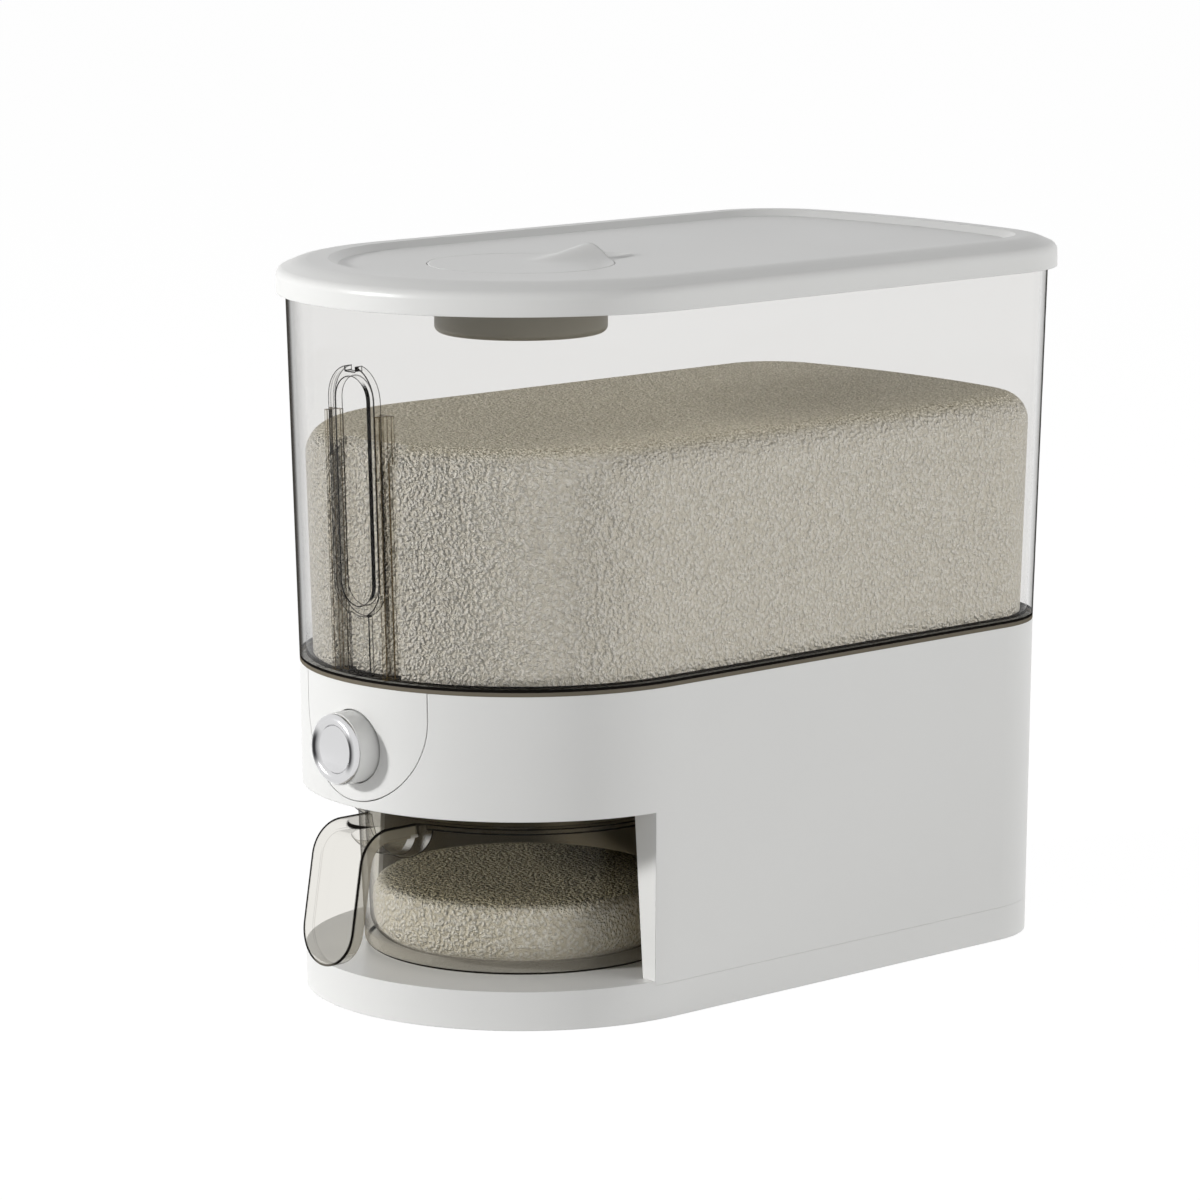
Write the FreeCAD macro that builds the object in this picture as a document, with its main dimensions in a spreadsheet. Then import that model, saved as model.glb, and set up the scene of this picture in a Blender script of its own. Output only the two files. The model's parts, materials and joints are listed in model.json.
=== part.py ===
import FreeCAD, Part
import Sketcher
import math
import os

# Rice dispenser with a push button and a pull-out measuring cup, in millimetres.
# +Z is up, the front with the button faces -Y, and the lid's outline is centred on X = 0, Y = 0.
# The floor that it stands on is Z = 0.

SIZES = {
    # outline of the lid, the widest piece
    "body_length": 308.0,
    "body_width": 175.0,
    "total_height": 266.0,
    "corner_radius": 41.6,
    "rear_bow_radius": 295.0,
    # lid
    "skirt_height": 11.5,
    "lid_wall": 2.2,
    "lid_top_wall": 4.2,
    "lid_edge_width": 8.2,
    "lid_edge_drop": 3.5,
    "lid_edge_round": 3.5,
    "lid_crown_round": 14.0,
    "deck_thickness": 3.0,
    "recess_depth": 2.15,
    "recess_ramp": 3.5,
    "rim_side": 15.7,
    "rim_front": 20.0,
    "plug_wall": 2.0,
    "plug_depth": 7.0,
    "gasket_thickness": 1.3,
    # round cap in the lid and the canister under it
    "well_shift": 1.0,
    "cap_radius": 33.7,
    "cap_gap": 0.35,
    "cap_thickness": 2.45,
    "cap_plug_depth": 6.5,
    "cap_seal_thickness": 0.8,
    "hump_tail": 28.2,
    "hump_dip": 21.5,
    "hump_length": 45.0,
    "hump_radius": 28.23,
    "dimple_radius": 12.5,
    "dimple_depth": 2.0,
    "dimple_reach": 38.5,
    "canister_inset": 2.35,
    "canister_wall": 1.6,
    "canister_depth": 26.8,
    "canister_round": 2.5,
    "canister_flange": 1.2,
    "vent_ledge": 7.35,
    "grille_thickness": 1.4,
    "grille_slot": 2.4,
    "grille_border": 15.4,
    "pack_room": 2.75,
    "pack_height": 9.0,
    # clear tank
    "joint_level": 120.35,
    "tank_rim_side": 3.3,
    "tank_rim_end": 3.3,
    "tank_foot_side": 6.8,
    "tank_foot_end": 7.6,
    "tank_wall": 2.4,
    "tank_floor": 2.5,
    "tank_rib_depth": 2.0,
    # striking-off loop and its rails inside the tank's front wall
    "loop_half_width": 12.4,
    "loop_band": 4.0,
    "loop_thickness": 3.2,
    "loop_foot": 21.0,
    "loop_top_room": 26.65,
    "loop_notch": 5.4,
    "stem_half_width": 6.0,
    "stem_thickness": 1.8,
    "rail_gap": 0.6,
    "rail_web": 1.8,
    "rail_lip": 1.4,
    "rail_inner": 10.6,
    "rail_outer": 15.2,
    "rail_head_outer": 17.0,
    "rail_head_low": 77.0,
    "rail_head_high": 94.0,
    "rice_level": 206.5,
    "rice_gap": 2.6,
    "rice_shoulder": 11.0,
    "rice_slot_room": 1.2,
    # base shell and plinth
    "foot_side": 7.5,
    "foot_end": 9.3,
    "base_wall": 2.5,
    "seam_level": 12.6,
    "ledge_width": 14.0,
    "ledge_thickness": 2.5,
    "mouth_floor": 14.15,
    "mouth_top": 75.5,
    "post_ahead": 8.1,
    "post_thickness": 2.0,
    "deck_gap": 0.8,
    "plinth_deck": 2.25,
    "pad_radius": 8.0,
    "pad_height": 3.0,
    "pad_inset": 16.0,
    "stem_radius": 10.0,
    "boss_radius": 5.0,
    "boss_height": 17.0,
    "boss_front": 30.0,
    "boss_middle": 95.0,
    "boss_rear": 30.0,
    "screw_radius": 1.5,
    "screw_head_radius": 3.2,
    "screw_head_height": 1.9,
    "screw_length": 15.0,
    # bay behind the cup
    "bay_side_room": 6.2,
    "bay_lean": 4.6,
    "bay_wall": 2.0,
    "ceiling_inset": 10.5,
    "ceiling_step": 0.5,
    "ceiling_thickness": 2.0,
    # hopper over the gate
    "hopper_wall": 2.0,
    "hopper_mouth_half": 50.0,
    "hopper_mouth_ahead": 30.5,
    "hopper_mouth_inset": 38.0,
    "head_room": 0.7,
    "hopper_ear": 4.0,
    "outlet_half_width": 22.0,
    "outlet_half_length": 25.0,
    "slot_half_width": 20.0,
    "slot_length": 8.0,
    "slot_pitch": 18.0,
    "seal_thickness": 1.0,
    "seal_width": 4.2,
    # gate under the hopper
    "gate_thickness": 2.4,
    "gate_half_width": 24.0,
    "gate_behind": 24.5,
    "rod_length": 29.5,
    "gate_lug": 3.3,
    "rail_clearance": 0.5,
    "frame_floor": 2.4,
    "frame_rail": 5.5,
    "frame_ahead": 34.5,
    "frame_behind": 37.5,
    "frame_screw_front": 9.0,
    "frame_screw_rear": 19.0,
    "chute_depth": 4.0,
    # push button
    "button_raise": 19.6,
    "button_radius": 13.0,
    "button_set_back": 0.4,
    "button_travel": 9.0,
    "button_flange_radius": 14.6,
    "button_flange": 2.0,
    "button_flange_inset": 12.2,
    "button_gap": 0.4,
    "disc_radius": 12.7,
    "disc_recess": 1.4,
    "disc_rim": 2.3,
    "disc_web": 1.1,
    "disc_dip": 0.8,
    "disc_dish": 45.0,
    "panel_half_width": 32.5,
    "panel_raise": 2.6,
    "panel_gap": 0.35,
    "guide_radius": 16.05,
    "guide_bore": 14.95,
    "guide_length": 17.8,
    "guide_plate": 2.0,
    "ear_x": 23.0,
    "ear_half": 4.0,
    "ear_inset": 16.5,
    "ear_thickness": 3.0,
    "rod_radius": 4.0,
    "rod_inset": 4.0,
    "spring_radius": 6.2,
    "spring_wire": 1.4,
    "spring_turns": 5.0,
    # measuring cup
    "cup_floor": 14.45,
    "cup_height": 54.65,
    "cup_draft": 2.4,
    "cup_side_room": 8.9,
    "cup_lip": 2.3,
    "cup_lip_height": 2.1,
    "cup_wall": 2.4,
    "cup_bottom": 2.6,
    "cup_heel_round": 3.0,
    "cup_inner_round": 9.0,
    "handle_half_width": 13.5,
    "handle_thickness": 5.0,
    "handle_bend": 13.5,
    "handle_run": 15.2,
    "handle_lean": 9.5,
    "handle_bottom": 20.0,
    "neck_depth": 13.7,
    "neck_reach": 22.0,
    "collar_grow": 3.6,
    "collar_reach": 6.0,
    # clearances
    "running_gap": 0.3,
    "fit_gap": 0.05,
}


class Size:
    """A length: its value and the formula on the sheet that gives it."""

    def __init__(self, value, text):
        self.value = value
        self.text = text

    def __add__(self, other):
        other = as_size(other)
        return Size(self.value + other.value, "(%s + %s)" % (self.text, other.text))

    def __sub__(self, other):
        other = as_size(other)
        return Size(self.value - other.value, "(%s - %s)" % (self.text, other.text))

    def __mul__(self, other):
        other = as_size(other)
        return Size(self.value * other.value, "(%s * %s)" % (self.text, other.text))

    def __truediv__(self, other):
        other = as_size(other)
        return Size(self.value / other.value, "(%s / %s)" % (self.text, other.text))

    def __neg__(self):
        return Size(-self.value, "(0 - %s)" % self.text)

    def __radd__(self, other):
        return as_size(other) + self

    def __rsub__(self, other):
        return as_size(other) - self

    def __rmul__(self, other):
        return as_size(other) * self


class Names:
    """The driving dimensions, each an attribute by its name on the sheet."""

    def __init__(self, values):
        for name, value in values.items():
            setattr(self, name, Size(value, "Sizes.%s" % name))


def as_size(number):
    return number if isinstance(number, Size) else Size(float(number), repr(float(number)))


def square_root(size):
    return Size(math.sqrt(size.value), "sqrt(%s)" % size.text)


s = Names(SIZES)
doc = FreeCAD.newDocument("rice_dispenser")


# ---- the sheet of driving dimensions ----

def make_sheet():
    sheet = doc.addObject("Spreadsheet::Sheet", "Sizes")
    for row, (name, value) in enumerate(SIZES.items(), start=1):
        sheet.set("A%d" % row, name)
        sheet.set("B%d" % row, str(value))
        sheet.setAlias("B%d" % row, name)
    doc.recompute()


# ---- ways to make and bind objects ----

def bind(thing, prop, size):
    size = as_size(size)
    thing.setExpression(prop, size.text)


def place(thing, x=0, y=0, z=0, turn=None):
    """Put an object at x, y, z; turn is an axis and an angle in degrees."""
    spot = FreeCAD.Vector(as_size(x).value, as_size(y).value, as_size(z).value)
    rotation = FreeCAD.Rotation(*turn) if turn else FreeCAD.Rotation()
    thing.Placement = FreeCAD.Placement(spot, rotation)
    for letter, size in (("x", x), ("y", y), ("z", z)):
        bind(thing, "Placement.Base.%s" % letter, size)
    return thing


ALONG_Y = (FreeCAD.Vector(1, 0, 0), -90)


def primitive(kind, name, **sizes):
    thing = doc.addObject("Part::%s" % kind, name)
    for prop, size in sizes.items():
        setattr(thing, prop, as_size(size).value)
        bind(thing, prop, size)
    return thing


def box(name, x, y, z):
    """A box between the pairs x, y and z."""
    (x0, x1), (y0, y1), (z0, z1) = [[as_size(end) for end in pair] for pair in (x, y, z)]
    return place(primitive("Box", name, Length=x1 - x0, Width=y1 - y0, Height=z1 - z0), x0, y0, z0)


def mirror_pair(name, x, y, z):
    """Two equal boxes, one each side of X = 0."""
    near, far = as_size(x[0]), as_size(x[1])
    return [box(name + "_right", (near, far), y, z), box(name + "_left", (-far, -near), y, z)]


def upright(name, radius, z, x=0, y=0):
    """A cylinder about a vertical axis, between the pair z."""
    low, high = as_size(z[0]), as_size(z[1])
    return place(primitive("Cylinder", name, Radius=radius, Height=high - low), x, y, low)


def level(name, radius, y, x=0, z=0):
    """A cylinder about an axis along Y, between the pair y."""
    front, back = as_size(y[0]), as_size(y[1])
    return place(primitive("Cylinder", name, Radius=radius, Height=back - front), x, front, z, ALONG_Y)


def cone(name, low_radius, high_radius, z, y):
    low, high = as_size(z[0]), as_size(z[1])
    shape = primitive("Cone", name, Radius1=low_radius, Radius2=high_radius, Height=high - low)
    return place(shape, 0, y, low)


def ellipsoid(name, rx, ry, rz, x, y, z):
    shape = primitive("Ellipsoid", name, Radius1=rz, Radius2=rx, Radius3=ry)
    shape.Angle1 = -90
    return place(shape, x, y, z)


def fuse(name, *parts):
    thing = doc.addObject("Part::MultiFuse", name)
    thing.Shapes = list(parts)
    thing.Refine = True
    return thing


def cut(name, base, *tools):
    thing = doc.addObject("Part::Cut", name)
    thing.Base = base
    thing.Tool = tools[0] if len(tools) == 1 else fuse(name + "_tools", *tools)
    thing.Refine = True
    return thing


def common(name, one, other):
    thing = doc.addObject("Part::MultiCommon", name)
    thing.Shapes = [one, other]
    thing.Refine = True
    return thing


def group(name, *solids):
    """Separate equal solids that share one node."""
    thing = doc.addObject("Part::Compound", name)
    thing.Links = list(solids)
    return thing


def new_body(name):
    return doc.addObject("PartDesign::Body", name)


def sketch_at(body, name, level_z=0, role="XY_Plane"):
    plane = [item for item in body.Origin.OriginFeatures if item.Role == role][0]
    sketch = body.newObject("Sketcher::SketchObject", name)
    sketch.AttachmentSupport = [(plane, "")]
    sketch.MapMode = "FlatFace"
    sketch.AttachmentOffset = FreeCAD.Placement(
        FreeCAD.Vector(0, 0, as_size(level_z).value), FreeCAD.Rotation())
    bind(sketch, "AttachmentOffset.Base.z", level_z)
    return sketch


def hold(sketch, kind, size, *where):
    """Add a dimension of a sketch and bind it to the sheet."""
    size = as_size(size)
    index = sketch.addConstraint(Sketcher.Constraint(kind, *where, size.value))
    sketch.setExpression("Constraints[%d]" % index, size.text)


def tie(sketch, kind, *where):
    sketch.addConstraint(Sketcher.Constraint(kind, *where))


X_AXIS, Y_AXIS = -1, -2
START, END, CENTRE = range(1, 4)


def pin(sketch, piece, point, x, y):
    """Hold a point of a sketch at x, y from its origin."""
    for kind, size, axis in (("DistanceX", x, Y_AXIS), ("DistanceY", y, X_AXIS)):
        if isinstance(size, Size):
            hold(sketch, kind, size, -1, 1, piece, point)
        else:
            tie(sketch, "PointOnObject", piece, point, axis)


def arc(cx, cy, radius, start, end):
    circle = Part.Circle(FreeCAD.Vector(cx, cy, 0), FreeCAD.Vector(0, 0, 1), radius)
    return Part.ArcOfCircle(circle, start, end)


def draw_outline(sketch, side, front, rear):
    """The body's outline, drawn in by side, front and rear: a half round front and a bowed rear."""
    half = s.body_width / 2 - side
    front_centre = half - (s.body_length / 2 - front)
    corner = s.corner_radius - side
    bow = s.rear_bow_radius - rear
    bow_centre = s.body_length / 2 - rear - bow
    across = half.value - corner.value
    corner_y = bow_centre.value + math.sqrt((bow.value - corner.value) ** 2 - across ** 2)
    lean = math.atan2(corner_y - bow_centre.value, across)
    point = FreeCAD.Vector
    first = sketch.addGeometry([
        arc(0, front_centre.value, half.value, math.pi, 2 * math.pi),
        Part.LineSegment(point(half.value, front_centre.value), point(half.value, corner_y)),
        arc(across, corner_y, corner.value, 0, lean),
        arc(0, bow_centre.value, bow.value, lean, math.pi - lean),
        arc(-across, corner_y, corner.value, math.pi - lean, math.pi),
        Part.LineSegment(point(-half.value, corner_y), point(-half.value, front_centre.value)),
    ], False)[0]
    front_arc, right, right_corner, rear_arc, left_corner, left = range(first, first + 6)
    ring = [front_arc, right, right_corner, rear_arc, left_corner, left]
    for piece, following in zip(ring, ring[1:] + ring[:1]):
        tie(sketch, "Tangent", piece, END, following, START)
    tie(sketch, "Vertical", right)
    tie(sketch, "Vertical", left)
    tie(sketch, "Equal", right_corner, left_corner)
    pin(sketch, front_arc, CENTRE, 0, front_centre)
    pin(sketch, rear_arc, CENTRE, 0, bow_centre)
    hold(sketch, "Radius", half, front_arc)
    hold(sketch, "Radius", corner, right_corner)
    hold(sketch, "Radius", bow, rear_arc)


def outline(body, name, level_z, side, front, rear=None):
    sketch = sketch_at(body, name, level_z)
    draw_outline(sketch, side, front, front if rear is None else rear)
    return sketch


def draw_polygon(sketch, points):
    points = [(as_size(x) if x else 0, as_size(y) if y else 0) for x, y in points]
    spots = [FreeCAD.Vector(as_size(x).value, as_size(y).value, 0) for x, y in points]
    first = sketch.addGeometry(
        [Part.LineSegment(a, b) for a, b in zip(spots, spots[1:] + spots[:1])], False)[0]
    count = len(spots)
    for i in range(count):
        tie(sketch, "Coincident", first + i, END, first + (i + 1) % count, START)
    for i, (x, y) in enumerate(points):
        pin(sketch, first + i, START, x, y)


def rectangle(body, name, level_z, x, y):
    sketch = sketch_at(body, name, level_z)
    draw_polygon(sketch, [(x[0], y[0]), (x[1], y[0]), (x[1], y[1]), (x[0], y[1])])
    return sketch


def disc(body, name, level_z, radius, y):
    sketch = sketch_at(body, name, level_z)
    circle = Part.Circle(FreeCAD.Vector(0, as_size(y).value, 0), FreeCAD.Vector(0, 0, 1), radius.value)
    index = sketch.addGeometry(circle, False)
    pin(sketch, index, CENTRE, 0, y)
    hold(sketch, "Radius", radius, index)
    return sketch


def feature(body, kind, name, profile):
    thing = body.newObject("PartDesign::%s" % kind, name)
    thing.Profile = profile
    return thing


def pad(body, name, profile, length):
    thing = feature(body, "Pad", name, profile)
    thing.Length = as_size(length).value
    bind(thing, "Length", length)
    return thing


def pocket(body, name, profile, length, upwards=False):
    """Cut down from the sketch, or up from it."""
    thing = feature(body, "Pocket", name, profile)
    thing.Length = as_size(length).value
    bind(thing, "Length", length)
    thing.Reversed = upwards
    return thing


def loft(body, name, first, *others, takes_away=False):
    thing = feature(body, "SubtractiveLoft" if takes_away else "AdditiveLoft", name, first)
    thing.Sections = list(others)
    thing.Ruled = True
    return thing


def revolve(body, name, points):
    """Turn a profile of radius and height about the vertical axis."""
    sketch = sketch_at(body, name + "_profile", 0, "XZ_Plane")
    draw_polygon(sketch, points)
    thing = feature(body, "Revolution", name, sketch)
    thing.ReferenceAxis = (sketch, ["V_Axis"])
    thing.Angle = 360
    return thing


def round_edges(body, name, base, radius, wanted):
    """Round the edges of a feature that the test picks."""
    doc.recompute()
    picked = ["Edge%d" % (i + 1) for i, edge in enumerate(base.Shape.Edges) if wanted(edge)]
    thing = body.newObject("PartDesign::Fillet", name)
    thing.Base = (base, picked)
    thing.Radius = as_size(radius).value
    bind(thing, "Radius", radius)
    return thing


# ---- heights and drafts that several pieces share ----

well_y = s.body_length / 2 - s.body_width / 2 - s.well_shift
well = -well_y
lid_foot = s.total_height - s.skirt_height
lid_roof = s.total_height - s.lid_top_wall
shoulder = s.total_height - s.lid_edge_drop
recess_floor = s.total_height - s.recess_depth
deck_under = recess_floor - s.deck_thickness
tank_rim = lid_roof - s.gasket_thickness
tank_inside = s.joint_level + s.tank_floor
loop_head = tank_rim - tank_inside - s.loop_top_room
ledge_under = s.joint_level - s.ledge_thickness
rim_rear = s.rim_side
cap_under = recess_floor - s.cap_thickness
flange_top = cap_under - s.cap_seal_thickness
flange_under = flange_top - s.canister_flange
cap_ledge = flange_under - s.running_gap
canister_bottom = s.total_height - s.canister_depth
canister_radius = s.cap_radius - s.canister_inset
canister_inner = canister_radius - s.canister_wall
rim_inset = s.ledge_width + s.tank_rib_depth + 1
hopper_rim = s.joint_level - s.seal_thickness

# the bay and the cup in it
post_front = well_y + s.post_ahead
bay_foot_radius = s.body_width / 2 - s.foot_side - s.bay_side_room
bay_top_radius = bay_foot_radius - s.bay_lean
deck_radius = bay_foot_radius - s.deck_gap
ceiling_radius = s.body_width / 2 - s.ceiling_inset
ceiling_level = s.mouth_top + s.ceiling_step
cup_rim_radius = bay_top_radius - s.cup_side_room
cup_foot_radius = cup_rim_radius - s.cup_draft
handle_reach = well_y + cup_rim_radius + s.handle_run

# the gate's stack, from the bay's ceiling up to the hopper
frame_under = ceiling_level + s.ceiling_thickness + s.head_room + s.screw_head_height
frame_top = frame_under + s.frame_floor
gate_under = frame_top + s.running_gap
gate_top = gate_under + s.gate_thickness
hopper_foot = gate_top + s.running_gap
hopper_outlet = hopper_foot + s.hopper_wall
hopper_mouth_front = well_y + s.hopper_mouth_ahead
hopper_mouth_rear = s.body_length / 2 - s.hopper_mouth_inset
frame_front = well_y + s.frame_ahead
frame_rear = well_y - s.frame_behind
gate_rear = well_y - s.gate_behind

# the button and what it pushes, from the front wall back
panel_bottom = s.mouth_top + s.panel_raise
button_level = panel_bottom + s.button_raise
button_face = s.body_length / 2 - s.button_set_back
button_flange_front = s.body_length / 2 - s.button_flange_inset
ear_front = s.body_length / 2 - s.ear_inset
rod_front = s.body_length / 2 - s.rod_inset
gate_front = rod_front - s.rod_length
guide_back = button_flange_front - s.button_flange - s.guide_length


def base_side(height):
    """How far the base's side wall stands in from the lid's outline at a height."""
    return s.foot_side - (s.foot_side - s.tank_foot_side) * height / s.joint_level


def base_end(height):
    return s.foot_end - (s.foot_end - s.tank_foot_end) * height / s.joint_level


def tank_side(height):
    """How far the tank's side wall stands in from the lid's outline at a height."""
    share = (height - s.joint_level) / (tank_rim - s.joint_level)
    return s.tank_foot_side - (s.tank_foot_side - s.tank_rim_side) * share


def tank_end(height):
    share = (height - s.joint_level) / (tank_rim - s.joint_level)
    return s.tank_foot_end - (s.tank_foot_end - s.tank_rim_end) * share


def base_front_circle(height, inside):
    """Centre and radius of the half round front of the base at a height."""
    half = s.body_width / 2 - base_side(height) - inside
    centre = half + inside - (s.body_length / 2 - base_end(height))
    return centre, half


# ---- plinth, feet and their screws ----

def boss_spots():
    side = s.body_width / 2 - s.foot_side - s.base_wall - s.boss_radius + 1.4
    rear = s.body_length / 2 - s.foot_end - s.base_wall - s.boss_radius - 0.4
    return [(side, s.boss_front), (side, s.boss_middle), (-side, s.boss_front), (-side, s.boss_middle),
            (s.boss_rear, rear), (-s.boss_rear, rear)]


def pad_spots():
    side = s.body_width / 2 - s.foot_side - s.pad_inset
    rear = s.body_length / 2 - s.foot_end - s.pad_inset - 12
    return [(side, -70), (-side, -70), (side - 10, rear), (10 - side, rear)]


def make_plinth():
    body = new_body("plinth_tray")
    foot = outline(body, "foot_outline", 0, s.foot_side, s.foot_end)
    seam = outline(body, "seam_outline", s.seam_level, base_side(s.seam_level), base_end(s.seam_level))
    loft(body, "tray", foot, seam)
    hollow = outline(body, "tray_hollow", 0, s.foot_side + s.base_wall, s.foot_end + s.base_wall)
    pocket(body, "tray_underside", hollow, s.seam_level - s.plinth_deck, upwards=True)
    centre, half = base_front_circle(s.seam_level, as_size(0))
    apron_disc = upright("apron_disc", half, (s.seam_level, s.mouth_floor), 0, centre)
    front_room = box("apron_room", (-s.body_width, s.body_width), (-s.body_length, -post_front),
                     (s.seam_level, s.mouth_floor))
    apron = common("apron", apron_disc, front_room)
    deck = upright("bay_deck", deck_radius, (s.seam_level, s.mouth_floor), 0, well)
    under = s.seam_level - s.plinth_deck
    stems = [upright("foot_stem_%d" % i, s.pad_radius + 1, (s.pad_height, under), x, y)
             for i, (x, y) in enumerate(pad_spots())]
    stems.append(upright("centre_stem", s.stem_radius, (0, under)))
    holes = [upright("plinth_hole_%d" % i, s.screw_radius + s.fit_gap, (0, s.seam_level + 1), x, y)
             for i, (x, y) in enumerate(boss_spots())]
    return cut("plinth", fuse("plinth_solid", body, apron, deck, *stems), *holes)


def make_feet():
    return group("feet", *[upright("foot_%d" % i, s.pad_radius, (0, s.pad_height), x, y)
                           for i, (x, y) in enumerate(pad_spots())])


def screw_up(name, x, y, seat, length):
    """A pan-head screw driven upwards: its head hangs under the seat."""
    head = upright(name + "_head", s.screw_head_radius, (seat - s.screw_head_height, seat), x, y)
    shank = upright(name + "_shank", s.screw_radius, (seat, seat + length), x, y)
    return fuse(name, head, shank)


def make_plinth_screws():
    under = s.seam_level - s.plinth_deck
    return group("plinth_screws", *[screw_up("plinth_screw_%d" % i, x, y, under, s.screw_length)
                                    for i, (x, y) in enumerate(boss_spots())])


# ---- base shell and the panel that carries the button ----

def make_shell_blank():
    """The whole wall of the base with the ledge under the tank, before its front is cut."""
    body = new_body("shell_blank")
    seam, joint = s.seam_level, s.joint_level
    low = outline(body, "shell_foot", seam, base_side(seam), base_end(seam))
    high = outline(body, "shell_head", joint, base_side(joint), base_end(joint))
    loft(body, "shell_outside", low, high)
    low_in = outline(body, "shell_foot_inside", seam, base_side(seam) + s.base_wall,
                     base_end(seam) + s.base_wall)
    high_in = outline(body, "shell_head_inside", ledge_under, base_side(ledge_under) + s.base_wall,
                      base_end(ledge_under) + s.base_wall)
    loft(body, "shell_inside", low_in, high_in, takes_away=True)
    gap = outline(body, "ledge_opening", joint, base_side(joint) + s.ledge_width,
                  base_end(joint) + s.ledge_width)
    pocket(body, "ledge_gap", gap, s.ledge_thickness)
    return body


def panel_prism(name, grow):
    """The U shape of the button panel, run through the front wall from front to back."""
    half = s.panel_half_width + grow
    middle = panel_bottom + s.panel_half_width
    room = (-(s.body_length / 2), -(s.body_length / 2 - s.tank_foot_end - s.ledge_width - 3))
    top = box(name + "_top", (-half, half), room, (middle, s.joint_level + 1))
    bottom = level(name + "_bottom", half, room, 0, middle)
    return fuse(name, top, bottom)


def post(name, sign):
    """The wall beside the mouth: its inner edge leans with the bay behind it."""
    outer = s.body_width / 2 - s.foot_side - 1.2
    reach = square_root(bay_foot_radius * bay_foot_radius
                        - (post_front - well_y) * (post_front - well_y))
    reach_top = reach - (bay_foot_radius - bay_top_radius)
    low, high = (reach, outer) if sign > 0 else (-outer, -reach)
    low_top, high_top = (reach_top, outer) if sign > 0 else (-outer, -reach_top)
    back = post_front - s.post_thickness
    wedge = primitive("Wedge", name, Xmin=low, Xmax=high, X2min=low_top, X2max=high_top,
                      Ymin=s.seam_level, Ymax=s.mouth_top, Zmin=back, Zmax=post_front,
                      Z2min=back, Z2max=post_front)
    wedge.Placement = FreeCAD.Placement(FreeCAD.Vector(0, 0, 0),
                                        FreeCAD.Rotation(FreeCAD.Vector(1, 0, 0), 90))
    return wedge


def make_base_shell(blank):
    mouth = box("mouth", (-s.body_width, s.body_width), (-s.body_length, -post_front),
                (0, s.mouth_top))
    wall = cut("shell_with_mouth", blank, mouth)
    posts = [post("post_right", 1), post("post_left", -1)]
    bosses = [upright("shell_boss_%d" % i, s.boss_radius, (s.seam_level, s.seam_level + s.boss_height), x, y)
              for i, (x, y) in enumerate(boss_spots())]
    bores = [upright("shell_bore_%d" % i, s.screw_radius + s.fit_gap,
                     (0, s.seam_level + s.boss_height + 1), x, y)
             for i, (x, y) in enumerate(boss_spots())]
    solid = fuse("shell_solid", wall, *posts, *bosses)
    return cut("base_shell", solid, panel_prism("panel_window", s.panel_gap), *bores)


def make_button_panel(blank):
    plate = common("panel_plate", blank, panel_prism("panel_shape", as_size(0)))
    centre, half = base_front_circle(button_level, as_size(0))
    reach = s.ear_x + s.ear_half - 0.5
    front = centre - square_root(half * half - reach * reach) + 0.3
    bosses = [level("panel_boss_%d" % i, s.ear_half - 0.5, (front, -ear_front), x, button_level)
              for i, x in enumerate((s.ear_x, -s.ear_x))]
    pilots = [level("panel_pilot_%d" % i, s.screw_radius + s.fit_gap, (front + 0.5, -ear_front), x,
                    button_level) for i, x in enumerate((s.ear_x, -s.ear_x))]
    hole = level("panel_hole", s.button_radius + s.button_gap,
                 (-s.body_length / 2, -ear_front), 0, button_level)
    return cut("button_panel", fuse("panel_solid", plate, *bosses), hole, *pilots)


# ---- the bay that the cup stands in ----

def make_bay_liner():
    height = (s.seam_level, ceiling_level)
    outer = cone("bay_outside", bay_foot_radius + s.bay_wall, bay_top_radius + s.bay_wall, height, well)
    inner = cone("bay_inside", bay_foot_radius, bay_top_radius, height, well)
    back = -post_front + s.post_thickness
    front_room = box("bay_front", (-s.body_width, s.body_width), (-s.body_length, back), height)
    wall = cut("bay_wall_ring", outer, inner, front_room)
    roof = upright("bay_roof", ceiling_radius, (ceiling_level, ceiling_level + s.ceiling_thickness),
                   0, well)
    hole = box("bay_hole", (-s.slot_half_width - 3.5, s.slot_half_width + 3.5),
               (well - s.outlet_half_length - 1, well + s.outlet_half_length + 1),
               (ceiling_level - 1, ceiling_level + s.ceiling_thickness + 1))
    return cut("bay_liner", fuse("bay_solid", wall, roof), hole)


# ---- hopper with its slotted floor, and its seal ----

def slot_boxes(name, shift, z):
    pitch = s.slot_pitch
    return [box("%s_%d" % (name, i), (-s.slot_half_width, s.slot_half_width),
                (well + pitch * i - s.slot_length / 2 + shift, well + pitch * i + s.slot_length / 2 + shift), z)
            for i in (-1, 0, 1)]


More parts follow.
